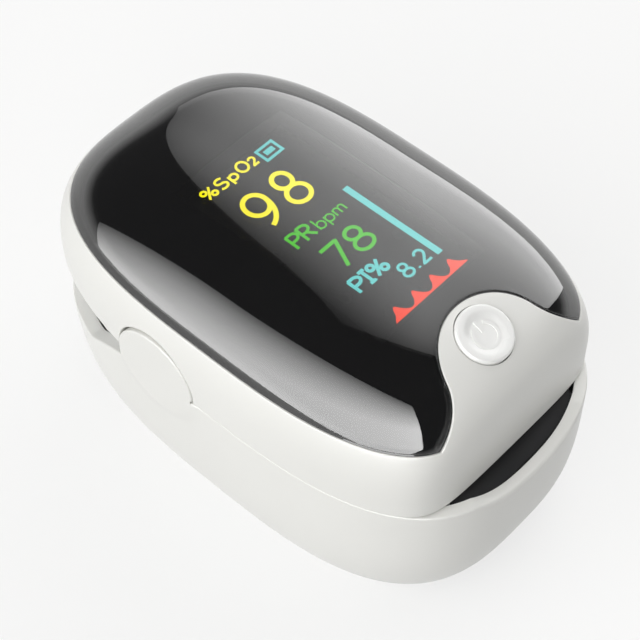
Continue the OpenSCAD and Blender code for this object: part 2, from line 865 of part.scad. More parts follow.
module tact_switch() {
    color("silver") translate([0, switch_y, roof_top + switch_board_t]) {
        translate([-switch_w / 2, -switch_w / 2, 0]) cube([switch_w, switch_w, switch_t]);
        cylinder(d = plunger_d, h = switch_t + plunger_t, $fn = round_fn);
    }
}

module power_button() {
    r = button_d / 2;
    color("white") at_button() rotate_extrude($fn = round_fn) polygon([
        [0, -stem_l],
        [button_stem_d / 2, -stem_l],
        [button_stem_d / 2, -button_under - button_flange_t],
        [r + button_flange, -button_under - button_flange_t],
        [r + button_flange, -button_under],
        [r, -button_under],
        [r, button_proud - button_edge],
        [r - button_edge, button_proud],
        [r - button_edge - button_rim, button_proud],
        [r - button_edge - 2 * button_rim, button_proud - button_dish],
        [0, button_proud - button_dish]
    ]);
}

module upper_screws() {
    color("silver") at_corners(boss_x, boss_y)
        translate([0, 0, roof_top]) screw(board_top - roof_top);
}

// Flat cable from the main board down to the sensor board, slack behind the channel
module flex_cable() {
    start = [flex_y, board_z - flex_t / 2];
    end = [pad_end + fit + flex_t, plate_top + fit + flex_t];
    steps = 16;
    path = [
        for (i = [0 : steps])
            let (
                t = i / steps,
                a = pow(1 - t, 3),
                b = 3 * t * pow(1 - t, 2),
                c = 3 * t * t * (1 - t),
                d = pow(t, 3)
            )
            a * start + b * [start.x + flex_slack, plate_top + flex_slack] + c * [start.x, end.y] + d * end
    ];
    sides = [
        for (i = [0 : steps])
            let (along = unit(path[min(i + 1, steps)] - path[max(i - 1, 0)]))
            flex_t / 2 * [-along.y, along.x]
    ];
    color("orange") rotate([90, 0, 90]) linear_extrude(flex_w, center = true) polygon(concat(
        [for (i = [0 : steps]) path[i] + sides[i]],
        [for (i = [steps : -1 : 0]) path[i] - sides[i]]
    ));
}

lower_shell();
lower_frame();
lower_finger_pad();
detector_window();
photodiode();
sensor_board();
battery_left();
battery_right();
battery_springs();
battery_contacts();
battery_bridge();
battery_door();
lower_screws();
pivot_pin_left();
pivot_pin_right();
torsion_spring_left();
torsion_spring_right();
upper_shell();
display_window();
display_gasket();
oled_panel();
main_board();
board_chips();
upper_frame();
upper_finger_pad();
emitter_window();
led_emitter();
switch_board();
tact_switch();
power_button();
upper_screws();
flex_cable();
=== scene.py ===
"""Looks of a fingertip pulse oximeter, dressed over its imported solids.

Every length is in millimetres until a mesh is made, and X runs across the jaws, Y from the
finger opening to the squeeze end and Z up, as in the solids.
"""

import logging
import math
from dataclasses import dataclass, field
from enum import Enum
from functools import cache
from typing import Callable, Sequence

import bmesh
import bpy
import numpy as np
from mathutils import Matrix, Vector


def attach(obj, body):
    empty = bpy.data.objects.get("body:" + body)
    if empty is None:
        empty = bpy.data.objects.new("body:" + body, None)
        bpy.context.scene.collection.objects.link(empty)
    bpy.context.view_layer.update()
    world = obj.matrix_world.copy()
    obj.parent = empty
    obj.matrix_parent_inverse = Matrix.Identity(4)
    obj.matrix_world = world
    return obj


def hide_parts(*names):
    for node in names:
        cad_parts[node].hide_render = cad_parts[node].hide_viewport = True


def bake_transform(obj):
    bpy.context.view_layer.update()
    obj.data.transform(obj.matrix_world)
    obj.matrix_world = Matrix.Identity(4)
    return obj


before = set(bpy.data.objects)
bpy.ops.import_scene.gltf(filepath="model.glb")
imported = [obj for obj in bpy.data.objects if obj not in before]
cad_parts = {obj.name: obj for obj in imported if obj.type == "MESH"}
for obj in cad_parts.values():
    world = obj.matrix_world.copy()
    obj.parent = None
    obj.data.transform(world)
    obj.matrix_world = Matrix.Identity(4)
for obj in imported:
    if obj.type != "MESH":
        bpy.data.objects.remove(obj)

MM = 0.001
# Rows on which the length of a column is measured.
TRIAL_ROWS = 61
# Radius that stands for a point on an axis.
AXIS_ROOM = 1e-4
# A way that no wire runs along.
ODD_WAY = np.array([0.31, 0.52, 0.79])
# Range that most values of a noise lie in.
NOISE_RANGE = (0.3, 0.7)
LOG = logging.getLogger("oximeter")
# A skin gives points at turns round the part and levels up it.
Skin = Callable[[np.ndarray, np.ndarray], np.ndarray]
Places = tuple[np.ndarray, np.ndarray]
Pair = tuple[float, float]
Colour = tuple[float, float, float]
Mesh = bpy.types.Mesh
Node = bpy.types.Node
NodeTree = bpy.types.NodeTree
Socket = bpy.types.NodeSocket


class Body(Enum):
    """Rigid bodies of the solids that the pieces ride on."""

    LOWER = "lower_jaw"
    UPPER = "upper_jaw"
    BUTTON = "button"
    DOOR = "door"


class Slot(Enum):
    """Material slots of the record, one for each kind of new piece."""

    SHELL = "white_shell"
    WINDOW = "dark_window"
    PAD = "soft_pad"
    DISPLAY = "display_face"
    FOAM = "foam"
    SPRING = "spring_steel"
    FLEX = "flex"


def signed_pow(value: np.ndarray, power: float) -> np.ndarray:
    """Power of the size of a value, with its sign kept."""
    return np.sign(value) * np.abs(value) ** power


def smooth_step(low: float, high: float, value: np.ndarray) -> np.ndarray:
    """Smooth rise from 0 at low to 1 at high."""
    t = np.clip((value - low) / (high - low), 0.0, 1.0)
    return t * t * (3.0 - 2.0 * t)


def unit(rows: np.ndarray) -> np.ndarray:
    """Vectors scaled to length one, along the last axis."""
    size = np.linalg.norm(rows, axis=-1, keepdims=True)
    return rows / np.where(size < 1e-12, 1.0, size)


@dataclass(frozen=True)
class BodyForm:
    """Curves that the two moulded jaws share."""

    half_width: float = 18.0
    half_length: float = 29.0
    height: float = 34.0
    waist: float = 20.9984
    belly_run: float = 3.7
    plan_power: float = 3.0
    crown_power: float = 2.5
    belly_power: float = 4.3
    lower_inset: float = 0.2
    nose: float = 26.0014
    nose_power: float = 20.0
    nose_room: float = 0.05
    blunt_start: float = 1.0
    upper_edge: float = 18.4012
    lower_edge: float = 18.1012
    squeeze_edge: float = 16.1
    squeeze_slope: Pair = (0.34, 0.036)
    squeeze_fall: float = 3.9
    squeeze_bend: float = 4.0
    heel_rise: float = 1.9992
    rear_start: float = 11.5016
    mouth_half: float = 9.0
    mouth_drop: float = 1.8496
    pivot_y: float = 6.1016
    pivot_z: float = 18.7
    ear_radius: float = 5.2
    ear_gap: float = 0.22
    ear_swell: Pair = (4.9, 6.6)
    ear_side: float = 12.0
    window_edge: float = 26.7988
    tongue_radius: float = 6.8004
    tongue_tip: float = 17.2028
    tips_half: float = 10.6002
    tips_back: float = 7.3486
    trial_turns: int = 6001

    @property
    def crown_rise(self) -> float:
        """Height of the crown above the waist."""
        return self.height - self.waist

    def blunt(self, y: np.ndarray) -> np.ndarray:
        """Smooth limit on how far forward the upper jaw's nose reaches.

        Args:
            y: distances along the part.

        Returns:
            The distances, held short of the nose.
        """
        p = self.nose_power
        deep = np.minimum(y, -self.blunt_start)
        held = -((-deep) ** -p + self.nose ** -p) ** (-1.0 / p)
        return np.where(y > -self.blunt_start, y, held)

    def unblunt(self, y: np.ndarray) -> np.ndarray:
        """Distance that the smooth limit turns into y.

        Args:
            y: distances that the limit holds.

        Returns:
            The distances before the limit.
        """
        p = self.nose_power
        deep = np.clip(-y, self.blunt_start, self.nose - self.nose_room)
        free = -(np.maximum(deep ** -p - self.nose ** -p, 1e-40)) ** (-1.0 / p)
        return np.where(y > -self.blunt_start, y, free)

    def crown(self, turn: np.ndarray, level: np.ndarray) -> np.ndarray:
        """Points of the upper jaw's skin.

        Args:
            turn: angle round the outline, from +X towards +Y.
            level: angle up the crown, or below zero a share of the crown's rise under the waist.

        Returns:
            Points in millimetres, along the last axis.
        """
        c = 2.0 / self.crown_power
        up = np.clip(level, 0.0, math.pi / 2)
        size = np.cos(up) ** c
        z = self.waist + self.crown_rise * np.where(level > 0, np.sin(up) ** c, level)
        p = 2.0 / self.plan_power
        x = self.half_width * size * signed_pow(np.cos(turn), p)
        y = self.blunt(self.half_length * size * signed_pow(np.sin(turn), p))
        return np.stack([x, y, z], axis=-1)

    def crown_level(self, z: np.ndarray) -> np.ndarray:
        """Level on the crown at a height.

        Args:
            z: heights.

        Returns:
            Levels, as crown takes them.
        """
        rise = (np.asarray(z, float) - self.waist) / self.crown_rise
        up = np.arcsin(np.clip(rise, 0.0, 1.0) ** (self.crown_power / 2))
        return np.where(rise > 0, up, rise)

    def crown_size(self, z: np.ndarray) -> np.ndarray:
        """Share of the full outline that the crown has at a height."""
        rise = np.clip((np.asarray(z, float) - self.waist) / self.crown_rise, 0.0, 1.0)
        return (1.0 - rise ** self.crown_power) ** (1.0 / self.crown_power)

    def crown_turn(self, y: np.ndarray, z: np.ndarray) -> np.ndarray:
        """Angle on the right side at a distance along the part and a height."""
        share = self.unblunt(np.asarray(y, float)) / (self.half_length * self.crown_size(z))
        return np.arcsin(np.clip(signed_pow(share, self.plan_power / 2), -1.0, 1.0))

    def front_turn(self, x: np.ndarray, size: np.ndarray | float = 1.0, inset: float = 0.0) -> np.ndarray:
        """Angle on the front half at a distance from the middle plane."""
        share = np.clip(np.asarray(x, float) / ((self.half_width - inset) * size), -1.0, 1.0)
        return -np.arccos(signed_pow(share, self.plan_power / 2))

    def plan_share(self, x: np.ndarray, y: np.ndarray) -> np.ndarray:
        """Share of the full outline on which a place seen from above lies.

        Args:
            x: distances across the part.
            y: distances along the part.

        Returns:
            Shares, from 0 in the middle to 1 on the outline.
        """
        p = self.plan_power
        free = self.unblunt(y)
        return (np.abs(x / self.half_width) ** p + np.abs(free / self.half_length) ** p) ** (1.0 / p)

    def crown_height(self, x: np.ndarray, y: np.ndarray) -> np.ndarray:
        """Height of the crown over a place seen from above."""
        share = np.clip(self.plan_share(x, y), 0.0, 1.0)
        return self.waist + self.crown_rise * (1.0 - share ** self.crown_power) ** (1.0 / self.crown_power)

    def crown_place(self, x: np.ndarray, y: np.ndarray) -> Places:
        """Turn and level of a place seen from above.

        Args:
            x: distances across the part.
            y: distances along the part.

        Returns:
            Turns and levels, as crown takes them.
        """
        p = self.plan_power
        share = np.maximum(self.plan_share(x, y), 1e-9)
        turn = np.arctan2(
            signed_pow(self.unblunt(y) / (self.half_length * share), p / 2),
            signed_pow(x / (self.half_width * share), p / 2),
        )
        return turn, np.arccos(np.clip(share, 0.0, 1.0) ** (self.crown_power / 2))

    def belly(self, turn: np.ndarray, z: np.ndarray) -> np.ndarray:
        """Points of the lower jaw's skin at an angle and a height, with the hinge ears swelling out.

        Args:
            turn: angle round the outline, from +X towards +Y.
            z: heights.

        Returns:
            Points in millimetres, along the last axis.
        """
        fall = np.clip((self.waist - z) / (self.waist + self.belly_run), 0.0, 1.0)
        size = (1.0 - fall ** self.belly_power) ** (1.0 / self.belly_power)
        p = 2.0 / self.plan_power
        x = (self.half_width - self.lower_inset) * size * signed_pow(np.cos(turn), p)
        y = (self.half_length - self.lower_inset) * size * signed_pow(np.sin(turn), p)
        reach = np.hypot(y - self.pivot_y, z - self.pivot_z)
        swell = 1.0 - smooth_step(*self.ear_swell, reach)
        x = x + np.sign(x) * (self.half_width - np.abs(x)) * swell * (np.abs(x) > self.ear_side)
        return np.stack([x, y, z + 0.0 * x], axis=-1)

    def even_turns(self, count: int) -> np.ndarray:
        """Angles from the front middle round the right side to the rear middle, evenly far apart.

        Args:
            count: number of angles.

        Returns:
            The angles.
        """
        turn = np.linspace(-math.pi / 2, math.pi / 2, self.trial_turns)
        points = self.crown(turn, np.zeros_like(turn))
        run = np.concatenate([[0.0], np.cumsum(np.linalg.norm(np.diff(points, axis=0), axis=1))])
        return np.interp(np.linspace(0.0, run[-1], count), run, turn)


def skin_normals(skin: Skin, turn: np.ndarray, level: np.ndarray) -> np.ndarray:
    """Outward normals of a skin at some of its places.

    Args:
        skin: the skin.
        turn: turns of the places.
        level: levels of the places.

    Returns:
        Normals of length one, along the last axis.
    """
    step = 2e-4
    across = skin(turn + step, level) - skin(turn - step, level)
    along = skin(turn, level + step) - skin(turn, level - step)
    return unit(np.cross(across, along))


def mirrored(turns: np.ndarray) -> np.ndarray:
    """Angles of the right half, front to rear, carried on round the left half back to the front."""
    return np.concatenate([turns, (math.pi - turns)[-2:0:-1]])


def doubled(values: np.ndarray) -> np.ndarray:
    """Values of the right half, carried on round the left half."""
    return np.concatenate([values, values[-2:0:-1]])


def columns(skin: Skin, low: Places, high: Places, rows: int) -> tuple[np.ndarray, np.ndarray]:
    """Evenly stepped columns over a skin.

    Args:
        skin: the skin that the columns lie on.
        low: turns and levels of the columns' lower ends.
        high: turns and levels of their upper ends.
        rows: number of points in a column.

    Returns:
        Points and outward normals, by column and row.
    """
    t = np.linspace(0.0, 1.0, TRIAL_ROWS)
    turn = low[0][:, None] + (high[0] - low[0])[:, None] * t
    level = low[1][:, None] + (high[1] - low[1])[:, None] * t
    path = skin(turn, level)
    run = np.linalg.norm(np.diff(path, axis=1), axis=2)
    run = np.concatenate([np.zeros((len(run), 1)), np.cumsum(run, axis=1)], axis=1)
    place = np.stack([np.interp(np.linspace(0.0, r[-1], rows), r, t) for r in run])
    turn = low[0][:, None] + (high[0] - low[0])[:, None] * place
    level = low[1][:, None] + (high[1] - low[1])[:, None] * place
    return skin(turn, level), skin_normals(skin, turn, level)


@dataclass
class MeshMaker:
    """Gathers points and faces of one piece, in millimetres."""

    points: list[np.ndarray] = field(default_factory=list)
    faces: list[tuple[int, ...]] = field(default_factory=list)
    count: int = 0

    def loop(self, rows: np.ndarray) -> np.ndarray:
        """Adds points and gives their numbers.

        Args:
            rows: the points.

        Returns:
            The points' numbers.
        """
        rows = np.asarray(rows, float).reshape(-1, 3)
        self.points.append(rows)
        numbers = np.arange(self.count, self.count + len(rows))
        self.count += len(rows)
        return numbers

    def bridge(self, first: np.ndarray, second: np.ndarray, closed: bool = True) -> None:
        """Joins two rows of as many points by four-sided faces.

        Args:
            first: numbers of the first row.
            second: numbers of the second row.
            closed: whether each row runs round to its own start.
        """
        n = len(first)
        for i in range(n if closed else n - 1):
            j = (i + 1) % n
            self.faces.append((int(first[i]), int(first[j]), int(second[j]), int(second[i])))

    def sheet(
        self, rows: Sequence[np.ndarray], ring: bool = False, closed: bool = True
    ) -> list[np.ndarray]:
        """Adds rows of points and joins each row to the next by faces.

        Args:
            rows: the rows, each with as many points.
            ring: whether the last row is joined to the first.
            closed: whether each row runs round to its own start.

        Returns:
            The numbers of each row's points.
        """
        numbers = [self.loop(row) for row in rows]
        for first, second in zip(numbers, numbers[1:] + (numbers[:1] if ring else [])):
            self.bridge(first, second, closed)
        return numbers

    def cap(self, numbers: np.ndarray, turned: bool = False) -> None:
        """Closes a row of points by one face."""
        order = [int(i) for i in numbers]
        self.faces.append(tuple(reversed(order)) if turned else tuple(order))

    def tube(self, path: np.ndarray, radius: float, sides: int = 10) -> None:
        """Adds a round wire along a path, with flat ends.

        Args:
            path: places along the wire's middle.
            radius: the wire's radius.
            sides: number of sides round the wire.
        """
        path = np.asarray(path, float)
        along = unit(np.gradient(path, axis=0))
        side = unit(np.cross(along[0], ODD_WAY))
        angle = np.linspace(0.0, 2 * math.pi, sides, endpoint=False)[:, None]
        rows = []
        for place, way in zip(path, along):
            side = unit(side - way * np.dot(side, way))
            up = np.cross(way, side)
            rows.append(place + radius * (np.cos(angle) * side + np.sin(angle) * up))
        rings = self.sheet(rows)
        self.cap(rings[0], turned=True)
        self.cap(rings[-1])

    def ribbon(
        self, path: np.ndarray, width: float, low: float, high: float, closed: bool = False
    ) -> None:
        """Adds a flat stroke along a path of X and Y places, between two heights.

        Args:
            path: places along the stroke's middle.
            width: width of the stroke.
            low: height of its underside.
            high: height of its top.
            closed: whether the path runs round to its own start.
        """
        path = np.asarray(path, float)
        if closed:
            along = unit(np.roll(path, -1, axis=0) - np.roll(path, 1, axis=0))
        else:
            along = unit(np.gradient(path, axis=0))
        out = np.stack([-along[:, 1], along[:, 0]], axis=1) * width / 2
        edge = [path + out, path - out]
        rows = [
            np.column_stack([edge[side], np.full(len(path), z)])
            for side, z in ((0, low), (0, high), (1, high), (1, low))
        ]
        rings = self.sheet(rows, ring=True, closed=closed)
        if not closed:
            self.cap(np.array([r[0] for r in rings]))
            self.cap(np.array([r[-1] for r in rings]), turned=True)

    def mesh(self, name: str, weld: float = 0.0) -> Mesh:
        """Makes the Blender mesh, in metres, with its faces turned outwards.

        Args:
            name: name of the mesh.
            weld: distance in millimetres under which points become one.

        Returns:
            The mesh, shaded smooth up to sharp corners.
        """
        mesh = bpy.data.meshes.new(name)
        mesh.from_pydata((np.concatenate(self.points) * MM).tolist(), [], self.faces)
        work = bmesh.new()
        work.from_mesh(mesh)
        if weld:
            bmesh.ops.remove_doubles(work, verts=work.verts, dist=weld * MM)
        bmesh.ops.recalc_face_normals(work, faces=work.faces)
        work.to_mesh(mesh)
        work.free()
        shade(mesh)
        return mesh


def shade(mesh: Mesh, angle: float = 38.0) -> None:
    """Shades a mesh smooth, and sharp where its faces meet at more than an angle in degrees.

    Args:
        mesh: the mesh.
        angle: the angle.
    """
    mesh.polygons.foreach_set("use_smooth", [True] * len(mesh.polygons))
    mesh.set_sharp_from_angle(angle=math.radians(angle))
    mesh.update()


def link(name: str, mesh: Mesh) -> bpy.types.Object:
    """Puts a mesh into the scene.

    Args:
        name: name of the piece.
        mesh: its mesh.

    Returns:
        The new object.
    """
    thing = bpy.data.objects.new(name, mesh)
    bpy.context.scene.collection.objects.link(thing)
    return thing


class Cut(Enum):
    """Ways of joining two closed meshes."""

    TAKE = "DIFFERENCE"
    KEEP = "INTERSECT"
    JOIN = "UNION"


def carve(mesh: Mesh, tool: Mesh, way: Cut) -> Mesh:
    """Joins or cuts a closed mesh by another.

    Args:
        mesh: the mesh to work on.
        tool: the mesh that cuts it, joins it or bounds it.
        way: what is kept.

    Returns:
        The new mesh. Both old ones are removed.
    """
    thing, cutter = link("work_piece", mesh), link("work_tool", tool)
    step = thing.modifiers.new("carve", "BOOLEAN")
    step.operation, step.solver, step.object = way.value, "MANIFOLD", cutter
    bpy.context.view_layer.update()
    held = thing.evaluated_get(bpy.context.evaluated_depsgraph_get())
    new = bpy.data.meshes.new_from_object(held)
    new.name = mesh.name
    for old in (thing, cutter):
        data = old.data
        bpy.data.objects.remove(old)
        bpy.data.meshes.remove(data)
    shade(new)
    return new


def block(low: Sequence[float], high: Sequence[float]) -> Mesh:
    """Closed box between two corners, in millimetres, for cutting.

    Args:
        low: the lowest corner.
        high: the highest corner.

    Returns:
        A closed mesh.
    """
    maker = MeshMaker()
    flat = [(low[0], low[1]), (high[0], low[1]), (high[0], high[1]), (low[0], high[1])]
    rings = maker.sheet([np.array([(x, y, z) for x, y in flat]) for z in (low[2], high[2])])
    maker.cap(rings[0], turned=True)
    maker.cap(rings[1])
    return maker.mesh("block")


def turned(profile: Sequence[Pair], sides: int) -> Mesh:
    """Round piece about Z, from a profile that starts and ends on the axis.

    Args:
        profile: radius and height of each place.
        sides: number of sides round the axis.

    Returns:
        A closed mesh.
    """
    maker = MeshMaker()
    angle = np.linspace(0.0, 2 * math.pi, sides, endpoint=False)
    rows = []
    for radius, z in profile:
        r = max(radius, AXIS_ROOM)
        rows.append(np.stack([r * np.cos(angle), r * np.sin(angle), np.full(sides, z)], axis=1))
    rings = maker.sheet(rows)
    maker.cap(rings[0], turned=True)
    maker.cap(rings[-1])
    return maker.mesh("turned", weld=2e-3)


def rolled_rim(
    edge: np.ndarray, normal: np.ndarray, inner: np.ndarray, radius: float | np.ndarray, steps: int = 5
) -> tuple[list[np.ndarray], np.ndarray]:
    """Rows of a rounded edge that runs on from the rim of a skin.

    Args:
        edge: the rim's points, in order round the piece.
        normal: outward normals at those points.
        inner: the next points inwards on the skin.
        radius: radius of the rounding, one for all points or one for each.
        steps: number of rows.

    Returns:
        The rows, and the way off the skin at each point.
    """
    along = np.roll(edge, -1, axis=0) - np.roll(edge, 1, axis=0)
    off = unit(np.cross(along, normal))
    wrong = np.sum(off * (edge - inner), axis=1) < 0
    off[wrong] *= -1.0
    size = np.broadcast_to(np.asarray(radius, float), (len(edge),))[:, None]
    rows = []
    for angle in np.linspace(0.0, math.pi / 2, steps + 1)[1:]:
        rows.append(edge + size * (math.sin(angle) * off + (math.cos(angle) - 1.0) * normal))
    return rows, off


class Nodes:
    """Short way to write a material's node tree."""

    FIRST_COLOUR, SECOND_COLOUR, MIXED_COLOUR = 6, 7, 2

    def __init__(self, tree: NodeTree) -> None:
        """Takes the tree to write into."""
        self.tree = tree

    def add(self, kind: str, **values: object) -> Node:
        """Adds a node and sets its own fields.

        Args:
            kind: Blender's name for the node.
            **values: the fields and what they are set to.

        Returns:
            The node.
        """
        node = self.tree.nodes.new(kind)
        for key, value in values.items():
            setattr(node, key, value)
        return node

    def link(self, source: Socket, target: Socket) -> None:
        """Joins an output to an input."""
        self.tree.links.new(source, target)

    def math(self, way: str, first: Socket | float, second: Socket | float) -> Socket:
        """Adds one sum of two values, each a socket or a number.

        Args:
            way: Blender's name for the sum.
            first: first value.
            second: second value.

        Returns:
            The output.
        """
        node = self.add("ShaderNodeMath", operation=way)
        for i, value in enumerate((first, second)):
            if isinstance(value, Socket):
                self.link(value, node.inputs[i])
            else:
                node.inputs[i].default_value = value
        return node.outputs[0]

    def ramp(
        self, source: Socket, low: float, high: float, to_low: float, to_high: float
    ) -> Socket:
        """Carries a value from one range into another.

        Args:
            source: the value.
            low: start of its range.
            high: end of its range.
            to_low: what the start becomes.
            to_high: what the end becomes.

        Returns:
            The output.
        """
        node = self.add("ShaderNodeMapRange")
        self.link(source, node.inputs["Value"])
        ends = {"From Min": low, "From Max": high, "To Min": to_low, "To Max": to_high}
        for key, value in ends.items():
            node.inputs[key].default_value = value
        return node.outputs["Result"]

    def mix(self, share: Socket, first: Colour | Socket, second: Colour | Socket) -> Socket:
        """Mixes two colours by a share.

        Args:
            share: share of the second colour.
            first: first colour, or a socket that gives it.
            second: second colour, or a socket that gives it.

        Returns:
            The output.
        """
        node = self.add("ShaderNodeMix", data_type="RGBA")
        self.link(share, node.inputs["Factor"])
        for key, colour in ((self.FIRST_COLOUR, first), (self.SECOND_COLOUR, second)):
            if isinstance(colour, Socket):
                self.link(colour, node.inputs[key])
            else:
                node.inputs[key].default_value = (*colour, 1.0)
        return node.outputs[self.MIXED_COLOUR]


class Effects:
    """Node groups that more than one finish places, each made once."""

    RUB_STRETCH = (1.0, 0.8, 1.2)
    RUB_SCALE = 2.5
    RUB_RANGE = (0.3, 0.75)

    @staticmethod
    def _group(
        name: str, inputs: dict[str, float], outputs: Sequence[str]
    ) -> tuple[Nodes, Node, Node]:
        """Starts a group with number sockets.

        Args:
            name: name of the group.
            inputs: names of the inputs and their first values.
            outputs: names of the outputs.

        Returns:
            The group's nodes, its input node and its output node.
        """
        tree = bpy.data.node_groups.new(name, "ShaderNodeTree")
        for socket, value in inputs.items():
            made = tree.interface.new_socket(name=socket, in_out="INPUT", socket_type="NodeSocketFloat")
            made.default_value = value
        for socket in outputs:
            tree.interface.new_socket(name=socket, in_out="OUTPUT", socket_type="NodeSocketFloat")
        nodes = Nodes(tree)
        return nodes, nodes.add("NodeGroupInput"), nodes.add("NodeGroupOutput")

    @classmethod
    @cache
    def moulded_grain(cls) -> NodeTree:
        """Fine grain of a moulding with slow tone changes: Height, Tone and Rub.

        Returns:
            The node group.
        """
        values = {"Grain": 9000.0, "Cloud": 90.0}
        nodes, given, out = cls._group("moulded_grain", values, ("Height", "Tone", "Rub"))
        place = nodes.add("ShaderNodeTexCoord")
        for socket, scale, detail in (("Height", "Grain", 3.0), ("Tone", "Cloud", 4.0)):
            noise = nodes.add("ShaderNodeTexNoise")
            nodes.link(place.outputs["Object"], noise.inputs["Vector"])
            nodes.link(given.outputs[scale], noise.inputs["Scale"])
            noise.inputs["Detail"].default_value = detail
            nodes.link(noise.outputs["Fac"], out.inputs[socket])
        stretch = nodes.add("ShaderNodeMapping")
        stretch.inputs["Scale"].default_value = cls.RUB_STRETCH
        nodes.link(place.outputs["Object"], stretch.inputs["Vector"])
        marks = nodes.add("ShaderNodeTexNoise")
        nodes.link(stretch.outputs["Vector"], marks.inputs["Vector"])
        scale = nodes.math("MULTIPLY", given.outputs["Cloud"], cls.RUB_SCALE)
        nodes.link(scale, marks.inputs["Scale"])
        marks.inputs["Detail"].default_value = 2.0
        nodes.link(nodes.ramp(marks.outputs["Fac"], *cls.RUB_RANGE, 0.0, 1.0), out.inputs["Rub"])
        return nodes.tree

    @classmethod
    @cache
    def drawn_lines(cls) -> NodeTree:
        """Fine lines of drawn or rolled metal: Height and Tone.

        Returns:
            The node group.
        """
        values = {"Pitch": 6000.0, "Stretch": 0.05}
        nodes, given, out = cls._group("drawn_lines", values, ("Height", "Tone"))
        place = nodes.add("ShaderNodeTexCoord")
        stretch = nodes.add("ShaderNodeVectorMath", operation="MULTIPLY")
        join = nodes.add("ShaderNodeCombineXYZ")
        join.inputs["X"].default_value = 1.0
        join.inputs["Z"].default_value = 1.0
        nodes.link(given.outputs["Stretch"], join.inputs["Y"])
        nodes.link(place.outputs["Object"], stretch.inputs[0])
        nodes.link(join.outputs["Vector"], stretch.inputs[1])
        for socket, share in (("Height", 1.0), ("Tone", 0.1)):
            noise = nodes.add("ShaderNodeTexNoise")
            nodes.link(stretch.outputs["Vector"], noise.inputs["Vector"])
            nodes.link(nodes.math("MULTIPLY", given.outputs["Pitch"], share), noise.inputs["Scale"])
            noise.inputs["Detail"].default_value = 4.0
            nodes.link(noise.outputs["Fac"], out.inputs[socket])
        return nodes.tree

    @classmethod
    @cache
    def pixel_grid(cls) -> NodeTree:
        """Square light points of a display with dark lines between them: Lit.

        Returns:
            The node group.
        """
        values = {"Pitch": 4500.0, "Line": 0.2}
        nodes, given, out = cls._group("pixel_grid", values, ("Lit",))
        place = nodes.add("ShaderNodeTexCoord")
        split = nodes.add("ShaderNodeSeparateXYZ")
        nodes.link(place.outputs["Object"], split.inputs["Vector"])
        bars = []
        for axis in ("X", "Y"):
            count = nodes.math("MULTIPLY", split.outputs[axis], given.outputs["Pitch"])
            step = nodes.math("FRACT", count, 0.0)
            bars.append(nodes.math("GREATER_THAN", step, given.outputs["Line"]))
        nodes.link(nodes.math("MULTIPLY", *bars), out.inputs["Lit"])
        return nodes.tree


class Finish:
    """A finish that makes its material once."""

    name: str
    _materials: dict[str, bpy.types.Material] = {}

    def material(self) -> bpy.types.Material:
        """Gives the finish's material, made at the first call.

        Returns:
            The material.
        """
        if self.name not in self._materials:
            made = bpy.data.materials.new(self.name)
            made.use_nodes = True
            made.node_tree.nodes.clear()
            nodes = Nodes(made.node_tree)
            shader = nodes.add("ShaderNodeBsdfPrincipled")
            nodes.link(shader.outputs["BSDF"], nodes.add("ShaderNodeOutputMaterial").inputs["Surface"])
            self.dress(nodes, shader)
            self._materials[self.name] = made
        return self._materials[self.name]

    def dress(self, nodes: Nodes, shader: Node) -> None:
        """Writes the finish's nodes; each finish has its own."""
        raise NotImplementedError


def place_group(nodes: Nodes, tree: NodeTree, **values: float) -> Node:
    """Places a node group with its own values.

    Args:
        nodes: nodes of the material.
        tree: the group.
        **values: values of its inputs.

    Returns:
        The placed group.
    """
    node = nodes.add("ShaderNodeGroup", node_tree=tree)
    for key, value in values.items():
        node.inputs[key].default_value = value
    return node


def bump(nodes: Nodes, height: Socket, shader: Node, strength: float, depth: float) -> None:
    """Lets a height move the shader's normals, with its depth in millimetres.

    Args:
        nodes: nodes of the material.
        height: output that gives the height.
        shader: shader whose normals move.
        strength: share of the relief that shows.
        depth: depth of the relief.
    """
    node = nodes.add("ShaderNodeBump")
    node.inputs["Strength"].default_value = strength
    node.inputs["Distance"].default_value = depth * MM
    nodes.link(height, node.inputs["Height"])
    nodes.link(node.outputs["Normal"], shader.inputs["Normal"])


@dataclass(frozen=True)
class Moulded(Finish):
    """Moulded plastic or rubber with grain, slow tone and faint rub marks."""

    name: str
    light: Colour
    deep: Colour
    rough: Pair
    grain: float = 9000.0
    cloud: float = 90.0
    depth: float = 0.004
    strength: float = 0.15
    coat: float = 0.0
    coat_rough: float = 0.08
    specular: float = 0.5

    def dress(self, nodes: Nodes, shader: Node) -> None:
        """Mixes two tones of the colour, and lets the rub marks change the gloss.

        Args:
            nodes: nodes of the material.
            shader: the material's own shader.
        """
        effect = place_group(nodes, Effects.moulded_grain(), Grain=self.grain, Cloud=self.cloud)
        tone = nodes.ramp(effect.outputs["Tone"], *NOISE_RANGE, 0.0, 1.0)
        nodes.link(nodes.mix(tone, self.deep, self.light), shader.inputs["Base Color"])
        nodes.link(nodes.ramp(effect.outputs["Rub"], 0.0, 1.0, *self.rough), shader.inputs["Roughness"])
        shader.inputs["Coat Weight"].default_value = self.coat
        shader.inputs["Coat Roughness"].default_value = self.coat_rough
        shader.inputs["Specular IOR Level"].default_value = self.specular
        bump(nodes, effect.outputs["Height"], shader, self.strength, self.depth)


